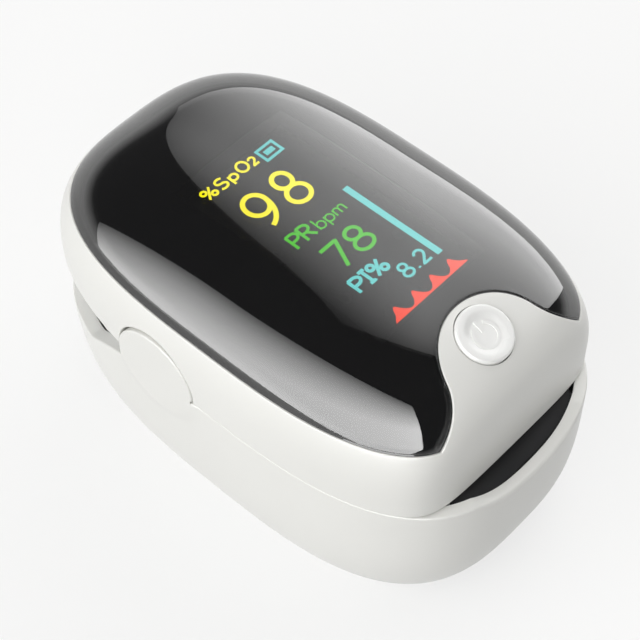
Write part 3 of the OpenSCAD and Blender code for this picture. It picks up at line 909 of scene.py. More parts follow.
@dataclass(frozen=True)
class Clear(Finish):
    """Clear or smoked window with a polished face."""

    name: str
    tint: Colour
    deep: Colour
    rough: Pair
    ior: float = 1.5
    grain: float = 2500.0
    cloud: float = 60.0

    def dress(self, nodes: Nodes, shader: Node) -> None:
        """Lets light through with a tint, and wipes faint marks over the polish.

        Args:
            nodes: nodes of the material.
            shader: the material's own shader.
        """
        effect = place_group(nodes, Effects.moulded_grain(), Grain=self.grain, Cloud=self.cloud)
        nodes.link(nodes.mix(effect.outputs["Tone"], self.deep, self.tint), shader.inputs["Base Color"])
        nodes.link(nodes.ramp(effect.outputs["Rub"], 0.0, 1.0, *self.rough), shader.inputs["Roughness"])
        shader.inputs["Transmission Weight"].default_value = 1.0
        shader.inputs["IOR"].default_value = self.ior


@dataclass(frozen=True)
class Drawn(Finish):
    """Bright metal with the fine lines of its making."""

    name: str
    light: Colour
    deep: Colour
    rough: Pair
    pitch: float = 6000.0
    stretch: float = 0.05
    strength: float = 0.2
    depth: float = 0.004

    def dress(self, nodes: Nodes, shader: Node) -> None:
        """Mixes two tones of the metal along its lines.

        Args:
            nodes: nodes of the material.
            shader: the material's own shader.
        """
        effect = place_group(nodes, Effects.drawn_lines(), Pitch=self.pitch, Stretch=self.stretch)
        nodes.link(nodes.mix(effect.outputs["Tone"], self.deep, self.light), shader.inputs["Base Color"])
        rough = nodes.ramp(effect.outputs["Height"], *NOISE_RANGE, *self.rough)
        nodes.link(rough, shader.inputs["Roughness"])
        shader.inputs["Metallic"].default_value = 1.0
        bump(nodes, effect.outputs["Height"], shader, self.strength, self.depth)


@dataclass(frozen=True)
class Lit(Finish):
    """Lit figure of the display, made of square light points."""

    name: str
    colour: Colour
    strength: float
    pitch: float = 5500.0
    line: float = 0.14
    dim: float = 0.55
    base: Colour = (0.01, 0.01, 0.01)
    rough: float = 0.5

    def dress(self, nodes: Nodes, shader: Node) -> None:
        """Lights the figure through the point grid.

        Args:
            nodes: nodes of the material.
            shader: the material's own shader.
        """
        effect = place_group(nodes, Effects.pixel_grid(), Pitch=self.pitch, Line=self.line)
        between = tuple(self.dim * c for c in self.colour)
        lit = nodes.mix(effect.outputs["Lit"], between, self.colour)
        nodes.link(lit, shader.inputs["Emission Color"])
        shader.inputs["Emission Strength"].default_value = self.strength
        shader.inputs["Base Color"].default_value = (*self.base, 1.0)
        shader.inputs["Roughness"].default_value = self.rough


@dataclass(frozen=True)
class Banded(Finish):
    """Plain sleeve of a cell, with a bright band at its button end."""

    name: str
    sleeve: Colour
    band: Colour
    band_end: float
    pitch: float = 3000.0
    stretch: float = 0.1
    rough: Pair = (0.26, 0.4)
    metal: float = 0.7
    strength: float = 0.1
    depth: float = 0.004

    def dress(self, nodes: Nodes, shader: Node) -> None:
        """Changes from sleeve to band along the cell, over fine rolling lines.

        Args:
            nodes: nodes of the material.
            shader: the material's own shader.
        """
        effect = place_group(nodes, Effects.drawn_lines(), Pitch=self.pitch, Stretch=self.stretch)
        place = nodes.add("ShaderNodeTexCoord")
        split = nodes.add("ShaderNodeSeparateXYZ")
        nodes.link(place.outputs["Object"], split.inputs["Vector"])
        way = math.copysign(1.0, self.band_end)
        along = nodes.math("MULTIPLY", split.outputs["Y"], way)
        share = nodes.math("GREATER_THAN", along, abs(self.band_end) * MM)
        colour = nodes.mix(share, self.sleeve, self.band)
        nodes.link(colour, shader.inputs["Base Color"])
        nodes.link(nodes.ramp(effect.outputs["Tone"], *NOISE_RANGE, *self.rough), shader.inputs["Roughness"])
        shader.inputs["Metallic"].default_value = self.metal
        bump(nodes, effect.outputs["Height"], shader, self.strength, self.depth)


@dataclass(frozen=True)
class Traced(Finish):
    """Circuit board with lighter traces under its mask."""

    name: str
    mask: Colour
    trace: Colour
    scale: float = 420.0
    line: float = 0.06
    cell: Pair = (1.4, 0.36)
    rough: Pair = (0.3, 0.45)
    grain: float = 5000.0
    cloud: float = 200.0
    strength: float = 0.3
    depth: float = 0.02

    def dress(self, nodes: Nodes, shader: Node) -> None:
        """Draws stepped traces from a brick pattern.

        Args:
            nodes: nodes of the material.
            shader: the material's own shader.
        """
        place = nodes.add("ShaderNodeTexCoord")
        brick = nodes.add("ShaderNodeTexBrick")
        nodes.link(place.outputs["Object"], brick.inputs["Vector"])
        wide, high = self.cell
        sizes = {"Scale": self.scale, "Mortar Size": self.line, "Brick Width": wide, "Row Height": high}
        for key, value in sizes.items():
            brick.inputs[key].default_value = value
        effect = place_group(nodes, Effects.moulded_grain(), Grain=self.grain, Cloud=self.cloud)
        nodes.link(nodes.mix(brick.outputs["Fac"], self.mask, self.trace), shader.inputs["Base Color"])
        nodes.link(nodes.ramp(effect.outputs["Rub"], 0.0, 1.0, *self.rough), shader.inputs["Roughness"])
        bump(nodes, brick.outputs["Fac"], shader, self.strength, self.depth)


SHELL_WHITE = Moulded(
    "shell_white", light=(0.82, 0.818, 0.785), deep=(0.80, 0.798, 0.765), rough=(0.31, 0.35),
    cloud=60.0, depth=0.002, strength=0.06, coat=0.12,
)
BUTTON_WHITE = Moulded(
    "button_white", light=(0.94, 0.94, 0.92), deep=(0.92, 0.92, 0.90), rough=(0.25, 0.3),
    depth=0.002, strength=0.06, coat=0.3,
)
FRAME_GREY = Moulded(
    "frame_grey", light=(0.60, 0.61, 0.60), deep=(0.55, 0.56, 0.55), rough=(0.42, 0.55),
    grain=4000.0, depth=0.01,
)
PAD_BLACK = Moulded(
    "pad_black", light=(0.016, 0.016, 0.017), deep=(0.010, 0.010, 0.011), rough=(0.62, 0.75),
    grain=2600.0, depth=0.02, strength=0.3, specular=0.3,
)
FOAM_BLACK = Moulded(
    "foam_black", light=(0.008, 0.008, 0.008), deep=(0.005, 0.005, 0.005), rough=(0.85, 0.95),
    grain=1800.0, depth=0.03, strength=0.5, specular=0.1,
)
MASK_BLACK = Moulded(
    "mask_black", light=(0.006, 0.006, 0.006), deep=(0.004, 0.004, 0.004), rough=(0.0, 0.03),
    depth=0.0002, strength=0.01, specular=1.0,
)
CHIP_BLACK = Moulded(
    "chip_black", light=(0.03, 0.03, 0.032), deep=(0.02, 0.02, 0.021), rough=(0.5, 0.62),
    grain=4000.0, depth=0.01,
)
EMITTER_WHITE = Moulded(
    "emitter_white", light=(0.80, 0.78, 0.70), deep=(0.74, 0.72, 0.64), rough=(0.35, 0.5),
)
PANEL_BLACK = Moulded(
    "panel_black", light=(0.006, 0.006, 0.008), deep=(0.004, 0.004, 0.006), rough=(0.25, 0.35),
    specular=0.2,
)
FLEX_AMBER = Moulded(
    "flex_amber", light=(0.62, 0.28, 0.06), deep=(0.50, 0.21, 0.04), rough=(0.28, 0.4), coat=0.3,
)
WINDOW_SMOKE = Clear(
    "window_smoke", tint=(0.30, 0.30, 0.29), deep=(0.26, 0.26, 0.255), rough=(0.0, 0.03), ior=1.8,
)
LIGHT_CLEAR = Clear(
    "light_clear", tint=(0.92, 0.94, 0.95), deep=(0.86, 0.89, 0.91), rough=(0.02, 0.08),
)
WIRE_STEEL = Drawn(
    "wire_steel", light=(0.74, 0.74, 0.75), deep=(0.62, 0.62, 0.63), rough=(0.2, 0.32),
)
SCREW_STEEL = Drawn(
    "screw_steel_finish", light=(0.62, 0.62, 0.63), deep=(0.50, 0.50, 0.51), rough=(0.28, 0.42),
    stretch=1.0,
)
CONTACT_BRASS = Drawn(
    "contact_brass", light=(0.80, 0.65, 0.34), deep=(0.68, 0.53, 0.24), rough=(0.22, 0.36),
)
BOARD_GREEN = Traced("board_green", mask=(0.012, 0.10, 0.04), trace=(0.03, 0.20, 0.08))
CELL_LEFT, CELL_RIGHT = (
    Banded(name, sleeve=(0.10, 0.11, 0.13), band=(0.72, 0.36, 0.14), band_end=end)
    for name, end in (("cell_left", 13.0), ("cell_right", -13.0))
)
FIGURE_YELLOW = Lit("figure_yellow", colour=(1.0, 0.90, 0.0), strength=4.5)
FIGURE_GREEN = Lit("figure_green", colour=(0.07, 0.75, 0.0), strength=3.0)
FIGURE_CYAN = Lit("figure_cyan", colour=(0.14, 0.80, 0.80), strength=3.3)
FIGURE_RED = Lit("figure_red", colour=(1.0, 0.04, 0.0), strength=4.0)


def settle(
    name: str,
    mesh: Mesh,
    finish: Finish,
    body: Body | None,
    slot: Slot,
    stands_for: Sequence[str] = (),
) -> bpy.types.Object:
    """Puts a piece on its body with its finish.

    Args:
        name: name of the piece.
        mesh: its mesh, in the part's own place.
        finish: the finish that it wears.
        body: the body it rides on, or None where it lies between two.
        slot: the record's material slot; not used.
        stands_for: solids that it replaces.

    Returns:
        The piece.
    """
    piece = link(name, mesh)
    piece.data.materials.clear()
    piece.data.materials.append(finish.material())
    if body is not None:
        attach(piece, body.value)
    if stands_for:
        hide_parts(*stands_for)
    LOG.info("%s: %d points, finish %s", name, len(mesh.vertices), finish.name)
    return piece


@dataclass
class WindowOutline:
    """Edge of the display window on the crown, with the tongue's bell in front."""

    form: BodyForm
    shift: float
    hollow_end: float = 300.0
    trials: int = 400

    def bell(self, steps: int = 44) -> np.ndarray:
        """Places of the tongue's right half from its tip to the window's front tip.

        Args:
            steps: number of places on each of the two arcs.

        Returns:
            X and Y places. The shift moves the line off the tongue where it is above zero.
        """
        form = self.form
        centre_y = -form.tongue_tip - form.tongue_radius
        tip_y = -form.tongue_tip - form.tips_back
        drop = centre_y - tip_y
        spare = form.tips_half ** 2 + drop ** 2 - form.tongue_radius ** 2
        side = spare / (2 * (form.tongue_radius + drop))
        side_y = tip_y + side
        touch = math.atan2(side_y - centre_y, form.tips_half)
        a = np.linspace(math.pi / 2, touch, steps)
        r = form.tongue_radius + self.shift
        round_end = np.stack([r * np.cos(a), centre_y + r * np.sin(a)], axis=1)
        a = np.linspace(touch + math.pi, math.radians(self.hollow_end), self.trials)
        r = side - self.shift
        hollow = np.stack([form.tips_half + r * np.cos(a), side_y + r * np.sin(a)], axis=1)
        above = form.crown_height(hollow[:, 0], hollow[:, 1]) - form.window_edge - self.shift
        last = int(np.argmax(above < 0)) if (above < 0).any() else len(hollow) - 1
        share = above[last - 1] / (above[last - 1] - above[last])
        tip = hollow[last - 1] + share * (hollow[last] - hollow[last - 1])
        pick = np.linspace(0, last - 1, steps).astype(int)[1:]
        return np.concatenate([round_end, hollow[pick], tip[None]])


@dataclass
class UpperJaw:
    """Upper shell, display window, mask, pad and button."""

    form: BodyForm
    wall: float = 1.3
    window_wall: float = 1.3
    low_round: float = 0.15
    high_round: float = 0.16
    window_round: float = 0.1
    window_gap: float = 0.13
    window_rows: int = 40
    window_ridge: Pair = (-5.0, 13.0)
    skirt: Pair = (0.02, 0.16)
    skirt_depth: float = 0.12
    print_rows: int = 16
    print_set: float = 0.04
    print_foot: float = 0.1
    print_lip: float = 0.012
    opening_middle: Pair = (0.0, -1.2)
    opening_half: Pair = (7.8, 13.7)
    side_columns: int = 190
    rows: int = 34
    tip_room: float = 0.004
    tip_level: float = -0.1
    window_tip_room: float = 0.02
    notch_columns: int = 44
    notch_room: float = 0.15
    button_y: float = -20.7988
    button_radius: float = 3.0
    button_gap: float = 0.1
    button_proud: float = 0.35
    button_roll: float = 0.3
    button_sides: int = 96
    roll_steps: int = 9
    hole_flare: float = 0.08
    hole_lip: float = 0.02
    hole_reach: Pair = (-4.0, 0.6)
    dish_edge: float = 0.65
    dish_depth: float = 0.3
    dish_run: float = 0.42
    dish_steps: int = 14
    flange_wide: float = 0.7
    flange_heights: Pair = (-2.55, -2.05)
    stem_radius: float = 0.9
    stem_foot: float = -3.4
    sign_radius: float = 1.32
    sign_drop: float = 0.15
    sign_arc: Pair = (122.0, 418.0)
    sign_bar: tuple[float, ...] = (0.3, 0.8, 1.5)
    sign_stroke: float = 0.3
    sign_steps: int = 40
    sign_depths: Pair = (0.36, 0.2)

    @property
    def button_place(self) -> tuple[Vector, float]:
        """Middle of the button on the crown and its lean towards the front.

        Returns:
            The middle in metres, and the lean in radians.
        """
        form = self.form
        reach = -self.button_y / form.half_length
        level = (1.0 - reach ** form.crown_power) ** (1.0 / form.crown_power)
        steep = form.crown_rise / form.half_length * (reach / level) ** (form.crown_power - 1.0)
        lean = math.atan(steep)
        return Vector((0.0, self.button_y, form.waist + form.crown_rise * level)) * MM, lean

    def edge_z(self, y: np.ndarray) -> np.ndarray:
        """Height of the shell's lower edge at a distance along the part.

        Args:
            y: distances along the part.

        Returns:
            The heights.
        """
        form = self.form
        rise = (y - form.rear_start) / (form.half_length - form.rear_start)
        return form.upper_edge + form.heel_rise * np.clip(rise, 0.0, 1.0)

    def shell_columns(self) -> tuple[Places, Places]:
        """Lower and upper ends of the shell's columns, all round.

        Returns:
            Turns and levels of the lower ends, then of the upper ends.
        """
        form, rise = self.form, self.low_round
        bell = WindowOutline(form, -self.high_round).bell()
        bell_turn, bell_level = form.crown_place(bell[:, 0], bell[:, 1])
        bell_turn[0] = -math.pi / 2
        tip_turn = bell_turn[-1]
        run = np.concatenate([[0.0], np.cumsum(np.linalg.norm(np.diff(bell, axis=0), axis=1))])
        tip_x = form.crown(np.array([tip_turn]), np.array([self.tip_level]))[0, 0]
        front_turn = form.front_turn(tip_x * run / run[-1])
        front_level = np.full(len(run), form.crown_level(form.upper_edge + rise))
        turns = form.even_turns(self.side_columns)
        turns = turns[turns > tip_turn + self.tip_room]
        y = form.crown(turns, np.zeros_like(turns))[:, 1]
        radius = form.ear_radius + form.ear_gap + rise
        half = math.asin((form.upper_edge + rise - form.pivot_z) / radius)
        arc = np.linspace(half, math.pi - half, self.notch_columns)
        arc_y = form.pivot_y - radius * np.cos(arc)
        arc_z = form.pivot_z + radius * np.sin(arc)
        arc_turn = form.crown_turn(arc_y, arc_z)
        keep_front = y < arc_y[0] - self.notch_room
        keep_rear = y > arc_y[-1] + self.notch_room
        level = form.crown_level(self.edge_z(y) + rise)
        side_turn = np.concatenate([turns[keep_front], arc_turn, turns[keep_rear]])
        side_level = np.concatenate([level[keep_front], form.crown_level(arc_z), level[keep_rear]])
        low = (np.concatenate([front_turn, side_turn]), np.concatenate([front_level, side_level]))
        edge = float(form.crown_level(form.window_edge - self.high_round))
        high = (
            np.concatenate([bell_turn, side_turn]),
            np.concatenate([bell_level, np.full(len(side_turn), edge)]),
        )
        return (mirrored(low[0]), doubled(low[1])), (mirrored(high[0]), doubled(high[1]))

    def shell(self) -> Mesh:
        """Shell with rounded edges, the notches of the hinge ears and the button's hole.

        Returns:
            A closed mesh.
        """
        low, high = self.shell_columns()
        points, normals = columns(self.form.crown, low, high, self.rows)
        rows = [points[:, r] for r in range(self.rows)]
        upper, upper_off = rolled_rim(points[:, -1], normals[:, -1], points[:, -2], self.high_round)
        lower, lower_off = rolled_rim(points[:, 0], normals[:, 0], points[:, 1], self.low_round)
        inside = [points[:, r] - self.wall * normals[:, r] for r in range(self.rows)]
        upper.append(inside[-1] + self.high_round * upper_off)
        lower.append(inside[0] + self.low_round * lower_off)
        maker = MeshMaker()
        maker.sheet(rows + upper + inside[::-1] + lower[::-1], ring=True)
        hole, flare = self.button_radius + self.button_gap, self.hole_flare
        deep, high_end = self.hole_reach
        sides = [(hole, deep), (hole, -flare), (hole + flare, self.hole_lip), (hole + high_end, high_end)]
        tool = turned([(0.0, deep), *sides, (0.0, high_end)], self.button_sides)
        place, lean = self.button_place
        tool.transform(Matrix.Translation(place) @ Matrix.Rotation(lean, 4, "X"))
        return carve(maker.mesh("upper_shell_form"), tool, Cut.TAKE)

    def window_loop(self, shift: float) -> np.ndarray:
        """Places of the window's edge all round, seen from above.

        Args:
            shift: how far inside the window's edge the places lie.

        Returns:
            X and Y places.
        """
        form = self.form
        bell = WindowOutline(form, shift).bell()
        tip = WindowOutline(form, 0.0).bell()[-1:]
        turn, _ = form.crown_place(tip[:, 0], tip[:, 1])
        turns = form.even_turns(self.side_columns)
        turns = turns[turns > turn[0] + self.window_tip_room]
        level = np.full_like(turns, form.crown_level(form.window_edge + shift))
        side = form.crown(turns, level)[:, :2]
        half = np.concatenate([bell, side])
        half[0, 0] = half[-1, 0] = 0.0
        return np.concatenate([half, (half * [-1.0, 1.0])[-2:0:-1]])

    def dome(self, loop: np.ndarray, target: np.ndarray, rows: int) -> tuple[np.ndarray, np.ndarray]:
        """Rows on the crown from its window edge to some inner places.

        Args:
            loop: X and Y places of the edge.
            target: X and Y places that the columns run to.
            rows: number of points in a column.

        Returns:
            Points and normals, by column and row.
        """
        t = np.linspace(0.0, 1.0, rows)[None, :, None]
        plan = loop[:, None] * (1.0 - t) + target[:, None] * t
        x, y = plan[..., 0], plan[..., 1]
        height, step = self.form.crown_height, 0.02
        slope_x = (height(x + step, y) - height(x - step, y)) / (2 * step)
        slope_y = (height(x, y + step) - height(x, y - step)) / (2 * step)
        normals = unit(np.stack([-slope_x, -slope_y, np.ones_like(x)], axis=-1))
        return np.stack([x, y, height(x, y)], axis=-1), normals

    def window(self) -> Mesh:
        """Display window: a polished dome with a rolled edge.

        Returns:
            A closed mesh.
        """
        loop = self.window_loop(self.window_gap + self.window_round)
        target = np.stack([np.zeros(len(loop)), np.clip(loop[:, 1], *self.window_ridge)], axis=1)
        points, normals = self.dome(loop, target, self.window_rows)
        rim, off = rolled_rim(points[:, 0], normals[:, 0], points[:, 1], self.window_round, steps=6)
        inside = points - self.window_wall * normals
        rows = [points[:, r] for r in reversed(range(self.window_rows))]
        rows += rim + [inside[:, 0] + self.window_round * off]
        rows += [inside[:, r] for r in range(self.window_rows)]
        maker = MeshMaker()
        maker.sheet(rows)
        return maker.mesh("window_form", weld=0.004)

    def mask(self) -> Mesh:
        """Black print in the window's back, open over the display, with a skirt at its edge.

        Returns:
            A closed mesh.
        """
        outer, inner = (self.window_loop(shift) for shift in self.skirt)
        middle, half = np.array(self.opening_middle), np.array(self.opening_half)
        way = inner - middle
        target = middle + way / np.max(np.abs(way) / half, axis=1, keepdims=True)
        points, normals = self.dome(inner, target, self.print_rows)
        edge, edge_normals = self.dome(outer, target, 2)
        top, foot = self.window_wall - self.print_set, self.window_wall + self.print_foot
        under = np.linspace(foot, top + self.print_lip, self.print_rows)
        rows = [points[:, r] - top * normals[:, r] for r in range(self.print_rows)]
        rows += [points[:, r] - under[r] * normals[:, r] for r in reversed(range(self.print_rows))]
        rows += [edge[:, 0] - depth * edge_normals[:, 0] for depth in (foot, self.skirt_depth)]
        rows.append(points[:, 0] - self.skirt_depth * normals[:, 0])
        maker = MeshMaker()
        maker.sheet(rows, ring=True)
        return maker.mesh("mask_form")

    def button(self) -> Mesh:
        """Round dished button with its flange, its stem and a raised sign for on and off.

        Returns:
            The mesh, in its place on the crown.
        """
        r, top, bend = self.button_radius, self.button_proud, self.button_roll
        roll = [
            (r - bend + bend * math.sin(a), top - bend + bend * math.cos(a))
            for a in np.linspace(math.pi / 2, 0.0, self.roll_steps)
        ]
        run = np.linspace(0.0, 1.0, self.dish_steps)
        fall = self.dish_depth * smooth_step(0.0, self.dish_run, run)
        dish = zip(np.linspace(r - self.dish_edge, 0.0, self.dish_steps), top - fall)
        stem, end = self.stem_radius, self.stem_foot
        flange, (foot, seat) = r + self.flange_wide, self.flange_heights
        below = [(0.0, end), (stem, end), (stem, foot), (flange, foot), (flange, seat), (r, seat)]
        profile = [(float(a), float(b)) for a, b in [*below, *roll, *dish]]
        mesh = turned(profile, self.button_sides)
        sign = MeshMaker()
        a = np.radians(np.linspace(*self.sign_arc, self.sign_steps))
        low, high = (top - depth for depth in self.sign_depths)
        ring = np.stack([self.sign_radius * np.cos(a), self.sign_radius * np.sin(a) - self.sign_drop], axis=1)
        for path in (ring, np.array([[0.0, y] for y in self.sign_bar])):
            sign.ribbon(path, self.sign_stroke, low, high)
        work = bmesh.new()
        work.from_mesh(mesh)
        work.from_mesh(sign.mesh("sign"))
        work.to_mesh(mesh)
        work.free()
        shade(mesh)
        place, lean = self.button_place
        mesh.transform(Matrix.Translation(place) @ Matrix.Rotation(lean, 4, "X"))
        return mesh

    def pad(self) -> Mesh:
        """Arched soft pad with rounded lips and the hole of the light window.

        Returns:
            A closed mesh.
        """
        return PadForm(
            half_width=9.2, floor=24.0, lips=18.9, hollow=23.0, nose=24.1, end=9.0, up=True
        ).mesh()

    def build(self) -> None:
        """Makes and dresses the upper jaw's own pieces."""
        settle("upper_shell_skin", self.shell(), SHELL_WHITE, Body.UPPER, Slot.SHELL, ["upper_shell"])
        window = self.window()
        settle("display_window_dome", window, WINDOW_SMOKE, Body.UPPER, Slot.WINDOW, ["display_window"])
        settle("window_mask", self.mask(), MASK_BLACK, Body.UPPER, Slot.FOAM)
        settle("button_cap", self.button(), BUTTON_WHITE, Body.BUTTON, Slot.SHELL, ["power_button"])
        settle("upper_pad_arch", self.pad(), PAD_BLACK, Body.UPPER, Slot.PAD, ["upper_finger_pad"])


@dataclass
class PadForm:
    """Soft finger pad: a block with a round hollow along it."""

    half_width: float
    floor: float
    lips: float
    hollow: float
    nose: float
    end: float
    up: bool
    slope: float = 0.0
    radius: float = 0.45
    sensor_y: float = -5.9972
    sensor_radius: float = 2.9
    sensor_z: float = 18.0
    hole_half: float = 30.0
    hole_sides: int = 64
    stations: int = 40
    hollow_columns: int = 41
    corner_steps: int = 6
    lip_wide: float = 0.7
    bow: float = 0.9
    slope_start: float = 29.0
    end_round: float = 0.35
    end_stations: float = 3.0

    @property
    def sign(self) -> float:
        """Plus one for a pad over the finger, minus one for a pad below it."""
        return 1.0 if self.up else -1.0

    def section(self, deep: float) -> tuple[np.ndarray, np.ndarray]:
        """Hollow and back of a cross-section, as rows of X and Z places.

        Args:
            deep: height of the hollow's middle.

        Returns:
            The line through the hollow and the line along the back, with as many places.
        """
        w, r = self.half_width, self.radius
        rise = abs(deep - self.lips)
        half = w - self.lip_wide
        bend = (half ** 2 + rise ** 2) / (2 * rise)
        x = np.linspace(-half, half, self.hollow_columns)
        arc = self.lips + self.sign * (np.sqrt(bend ** 2 - x ** 2) - (bend - rise))
        a = np.linspace(0.0, math.pi / 2, self.corner_steps)
        corner_x, corner_z = r * (1.0 - np.cos(a)), self.sign * r * (1.0 - np.sin(a))
        left = np.stack([-w + corner_x, self.lips + corner_z], axis=1)
        right = left[::-1] * [-1.0, 1.0]
        front = np.concatenate([left, np.stack([x, arc], axis=1), right])
        back_x = np.linspace(-w, w, len(front))
        back = np.stack([back_x, np.full(len(front), self.floor)], axis=1)
        return front, back

    def mesh(self) -> Mesh:
        """Pad's mesh, with its front following the jaw's outline.

        Returns:
            A closed mesh with the sensor's hole.
        """
        rows = []
        for t in np.linspace(0.0, 1.0, self.stations):
            y_mid = -self.nose + (self.end + self.nose) * t
            front, back = self.section(self.hollow - self.slope * (y_mid + self.slope_start))
            line = np.concatenate([front, back[::-1]])
            bow = self.bow * (np.abs(line[:, 0]) / self.half_width) ** 3
            y = (-self.nose + bow) * (1.0 - t) + self.end * t
            near = max(0.0, 1.0 - min(t, 1.0 - t) * self.stations / self.end_stations)
            line[: len(front), 1] += self.sign * (self.end_round * near ** 2)
            rows.append(np.stack([line[:, 0], y, line[:, 1]], axis=1))
        maker = MeshMaker()
        rings = maker.sheet(rows)
        for ring in (rings[0], rings[-1]):
            maker.bridge(ring[: len(front)], ring[len(front):][::-1], closed=False)
        mesh = maker.mesh("pad_form", weld=0.002)
        r, reach = self.sensor_radius, self.hole_half
        tool = turned([(0.0, -reach), (r, -reach), (r, reach), (0.0, reach)], self.hole_sides)
        tool.transform(Matrix.Translation(Vector((0.0, self.sensor_y, self.sensor_z)) * MM))
        return carve(mesh, tool, Cut.TAKE)


@dataclass
class LowerJaw:
    """Lower shell, cell door and pad."""

    form: BodyForm
    wall: float = 1.3
    rear_wall: float = 1.6
    floor_fade: Pair = (1.0, 0.2)
    edge_round: float = 0.2
    lip_round: float = 0.45
    rows: int = 46
    side_columns: int = 200
    door_half: float = 11.1
    door_front: float = -14.0012
    door_top: float = 6.5008
    door_gap: float = 0.25
    door_lift: float = 0.2
    door_skin: float = 1.2
    door_rows: int = 24
    door_round: float = 0.2
    door_spare: float = 1.5
    rib_y: float = 8.004
    rib_half: float = 8.3
    rib_thick: float = 1.0
    rib_heights: Pair = (0.6, 1.95)
    cut_low: float = -2.0
    cut_rear: float = 60.0
    mouth_columns: int = 64
    mouth_size: float = 0.9995
    mouth_room: float = 0.006
    lip_fade: Pair = (0.55, 1.0)
    ear_columns: int = 64
    ear_room: Pair = (0.2, 0.25)
    ear_spread: float = 1.5
    wall_columns: Pair = (40.0, 10.0)

    def rim_columns(self) -> tuple[Places, np.ndarray, np.ndarray, np.ndarray]:
        """Columns of the shell, all round.

        Returns:
            Turns and heights of the rim, turns of the columns at the base, radii of the rim's
            rounding and thicknesses of the wall.
        """
        form, r = self.form, self.edge_round
        inset = form.lower_inset
        bend = (form.mouth_half ** 2 + form.mouth_drop ** 2) / (2 * form.mouth_drop)
        middle = form.upper_edge - form.mouth_drop + bend
        level = form.lower_edge - r
        reach = math.sqrt((bend + r) ** 2 - (middle - level) ** 2)
        x = np.linspace(0.0, reach, self.mouth_columns)
        lip = r + (self.lip_round - r) * (1.0 - smooth_step(*self.lip_fade, x / reach))
        mouth_z = middle - np.sqrt((bend + lip) ** 2 - x ** 2)
        mouth_turn = form.front_turn(x, self.mouth_size, inset)
        radius = form.ear_radius - r
        start = math.asin((level - form.pivot_z) / radius)
        stop = math.pi + math.asin((form.pivot_z - form.squeeze_edge + r) / radius)
        arc = np.linspace(start, stop, self.ear_columns)
        ear_y = form.pivot_y - radius * np.cos(arc)
        ear_z = form.pivot_z + radius * np.sin(arc)
        length = form.half_length - inset

        def side_turn(y: np.ndarray) -> np.ndarray:
            """Angle on the right side at a distance along the part."""
            return np.arcsin(np.clip(signed_pow(y / length, form.plan_power / 2), -1.0, 1.0))

        turns = form.even_turns(self.side_columns)
        y = length * signed_pow(np.sin(turns), 2.0 / form.plan_power)
        front = (turns > mouth_turn[-1] + self.mouth_room) & (y < ear_y[0] - self.ear_room[0])
        rear = y > ear_y[-1] + self.ear_room[1]
        back = np.maximum(y - form.rear_start, 0.0)
        steep = form.squeeze_slope[0] * back + form.squeeze_slope[1] * back ** 2
        bent = form.squeeze_bend
        fall = -np.log(np.exp(-bent * steep) + math.exp(-bent * form.squeeze_fall)) / bent
        rear_z = form.squeeze_edge - fall - r
        turn = np.concatenate([mouth_turn, turns[front], side_turn(ear_y), turns[rear]])
        z = np.concatenate([mouth_z, np.full(front.sum(), level), ear_z, rear_z[rear]])
        base = turn.copy()
        first = len(mouth_turn) + int(front.sum())
        last = first + len(ear_y) + int(np.argmax(y[rear] > ear_y.max() + self.ear_spread))
        base[first:last] = np.linspace(base[first], base[last], last - first, endpoint=False)
        rounded = np.concatenate([lip, np.full(len(turn) - len(lip), r)])
        skip, run = self.wall_columns
        rear_share = smooth_step(0.0, run, np.arange(len(turn)) - first - skip)
        wall = self.wall + (self.rear_wall - self.wall) * rear_share
        return (mirrored(turn), doubled(z)), mirrored(base), doubled(rounded), doubled(wall)

    def cup(
        self,
        rim: Places,
        base_turn: np.ndarray,
        base: float,
        wall: float | np.ndarray,
        rows: int,
        rounded: float | np.ndarray,
    ) -> Mesh:
        """Cup of the lower jaw from a flat base up to a rim.

        Args:
            rim: turns and heights of the rim.
            base_turn: turns of the columns at the base.
            base: height of the base.
            wall: thickness of the cup, one for all columns or one for each.
            rows: number of points in a column.
            rounded: radius of the rim's rounding, one for all columns or one for each.

        Returns:
            A closed mesh.
        """
        low = (base_turn, np.full(len(base_turn), base))
        points, normals = columns(self.form.belly, low, rim, rows)
        deep = np.broadcast_to(np.asarray(wall, float), (len(base_turn),))[:, None]
        inside = points - deep[..., None] * normals
        fade = np.linspace(*self.floor_fade, rows)[None, :]
        floor = base + deep * fade * (inside[..., 2] < base + deep)
        inside[..., 2] = np.maximum(inside[..., 2], floor)
        lip, off = rolled_rim(points[:, -1], normals[:, -1], points[:, -2], rounded)
        lip.append(inside[:, -1] + np.broadcast_to(rounded, (len(off),))[:, None] * off)
        outer = [points[:, r] for r in range(rows)]
        inner = [inside[:, r] for r in reversed(range(rows))]
        maker = MeshMaker()
        rings = maker.sheet(outer + lip + inner)
        maker.cap(rings[0], turned=True)
        maker.cap(rings[-1])
        return maker.mesh("cup_form")

    def shell(self) -> Mesh:
        """Shell with the lip of the finger opening, the hinge ears and the door's opening.

        Returns:
            A closed mesh.
        """
        rim, base, rounded, wall = self.rim_columns()
        mesh = self.cup(rim, base, 0.0, wall, self.rows, rounded)
        return carve(mesh, self.door_block(self.door_gap), Cut.TAKE)

    def door_block(self, gap: float) -> Mesh:
        """Block that the door lies in, for cutting.

        Args:
            gap: room left round the door.

        Returns:
            A closed mesh.
        """
        half = self.door_half + gap
        low = (-half, self.door_front - gap, self.cut_low)
        return block(low, (half, self.cut_rear, self.door_top + gap))

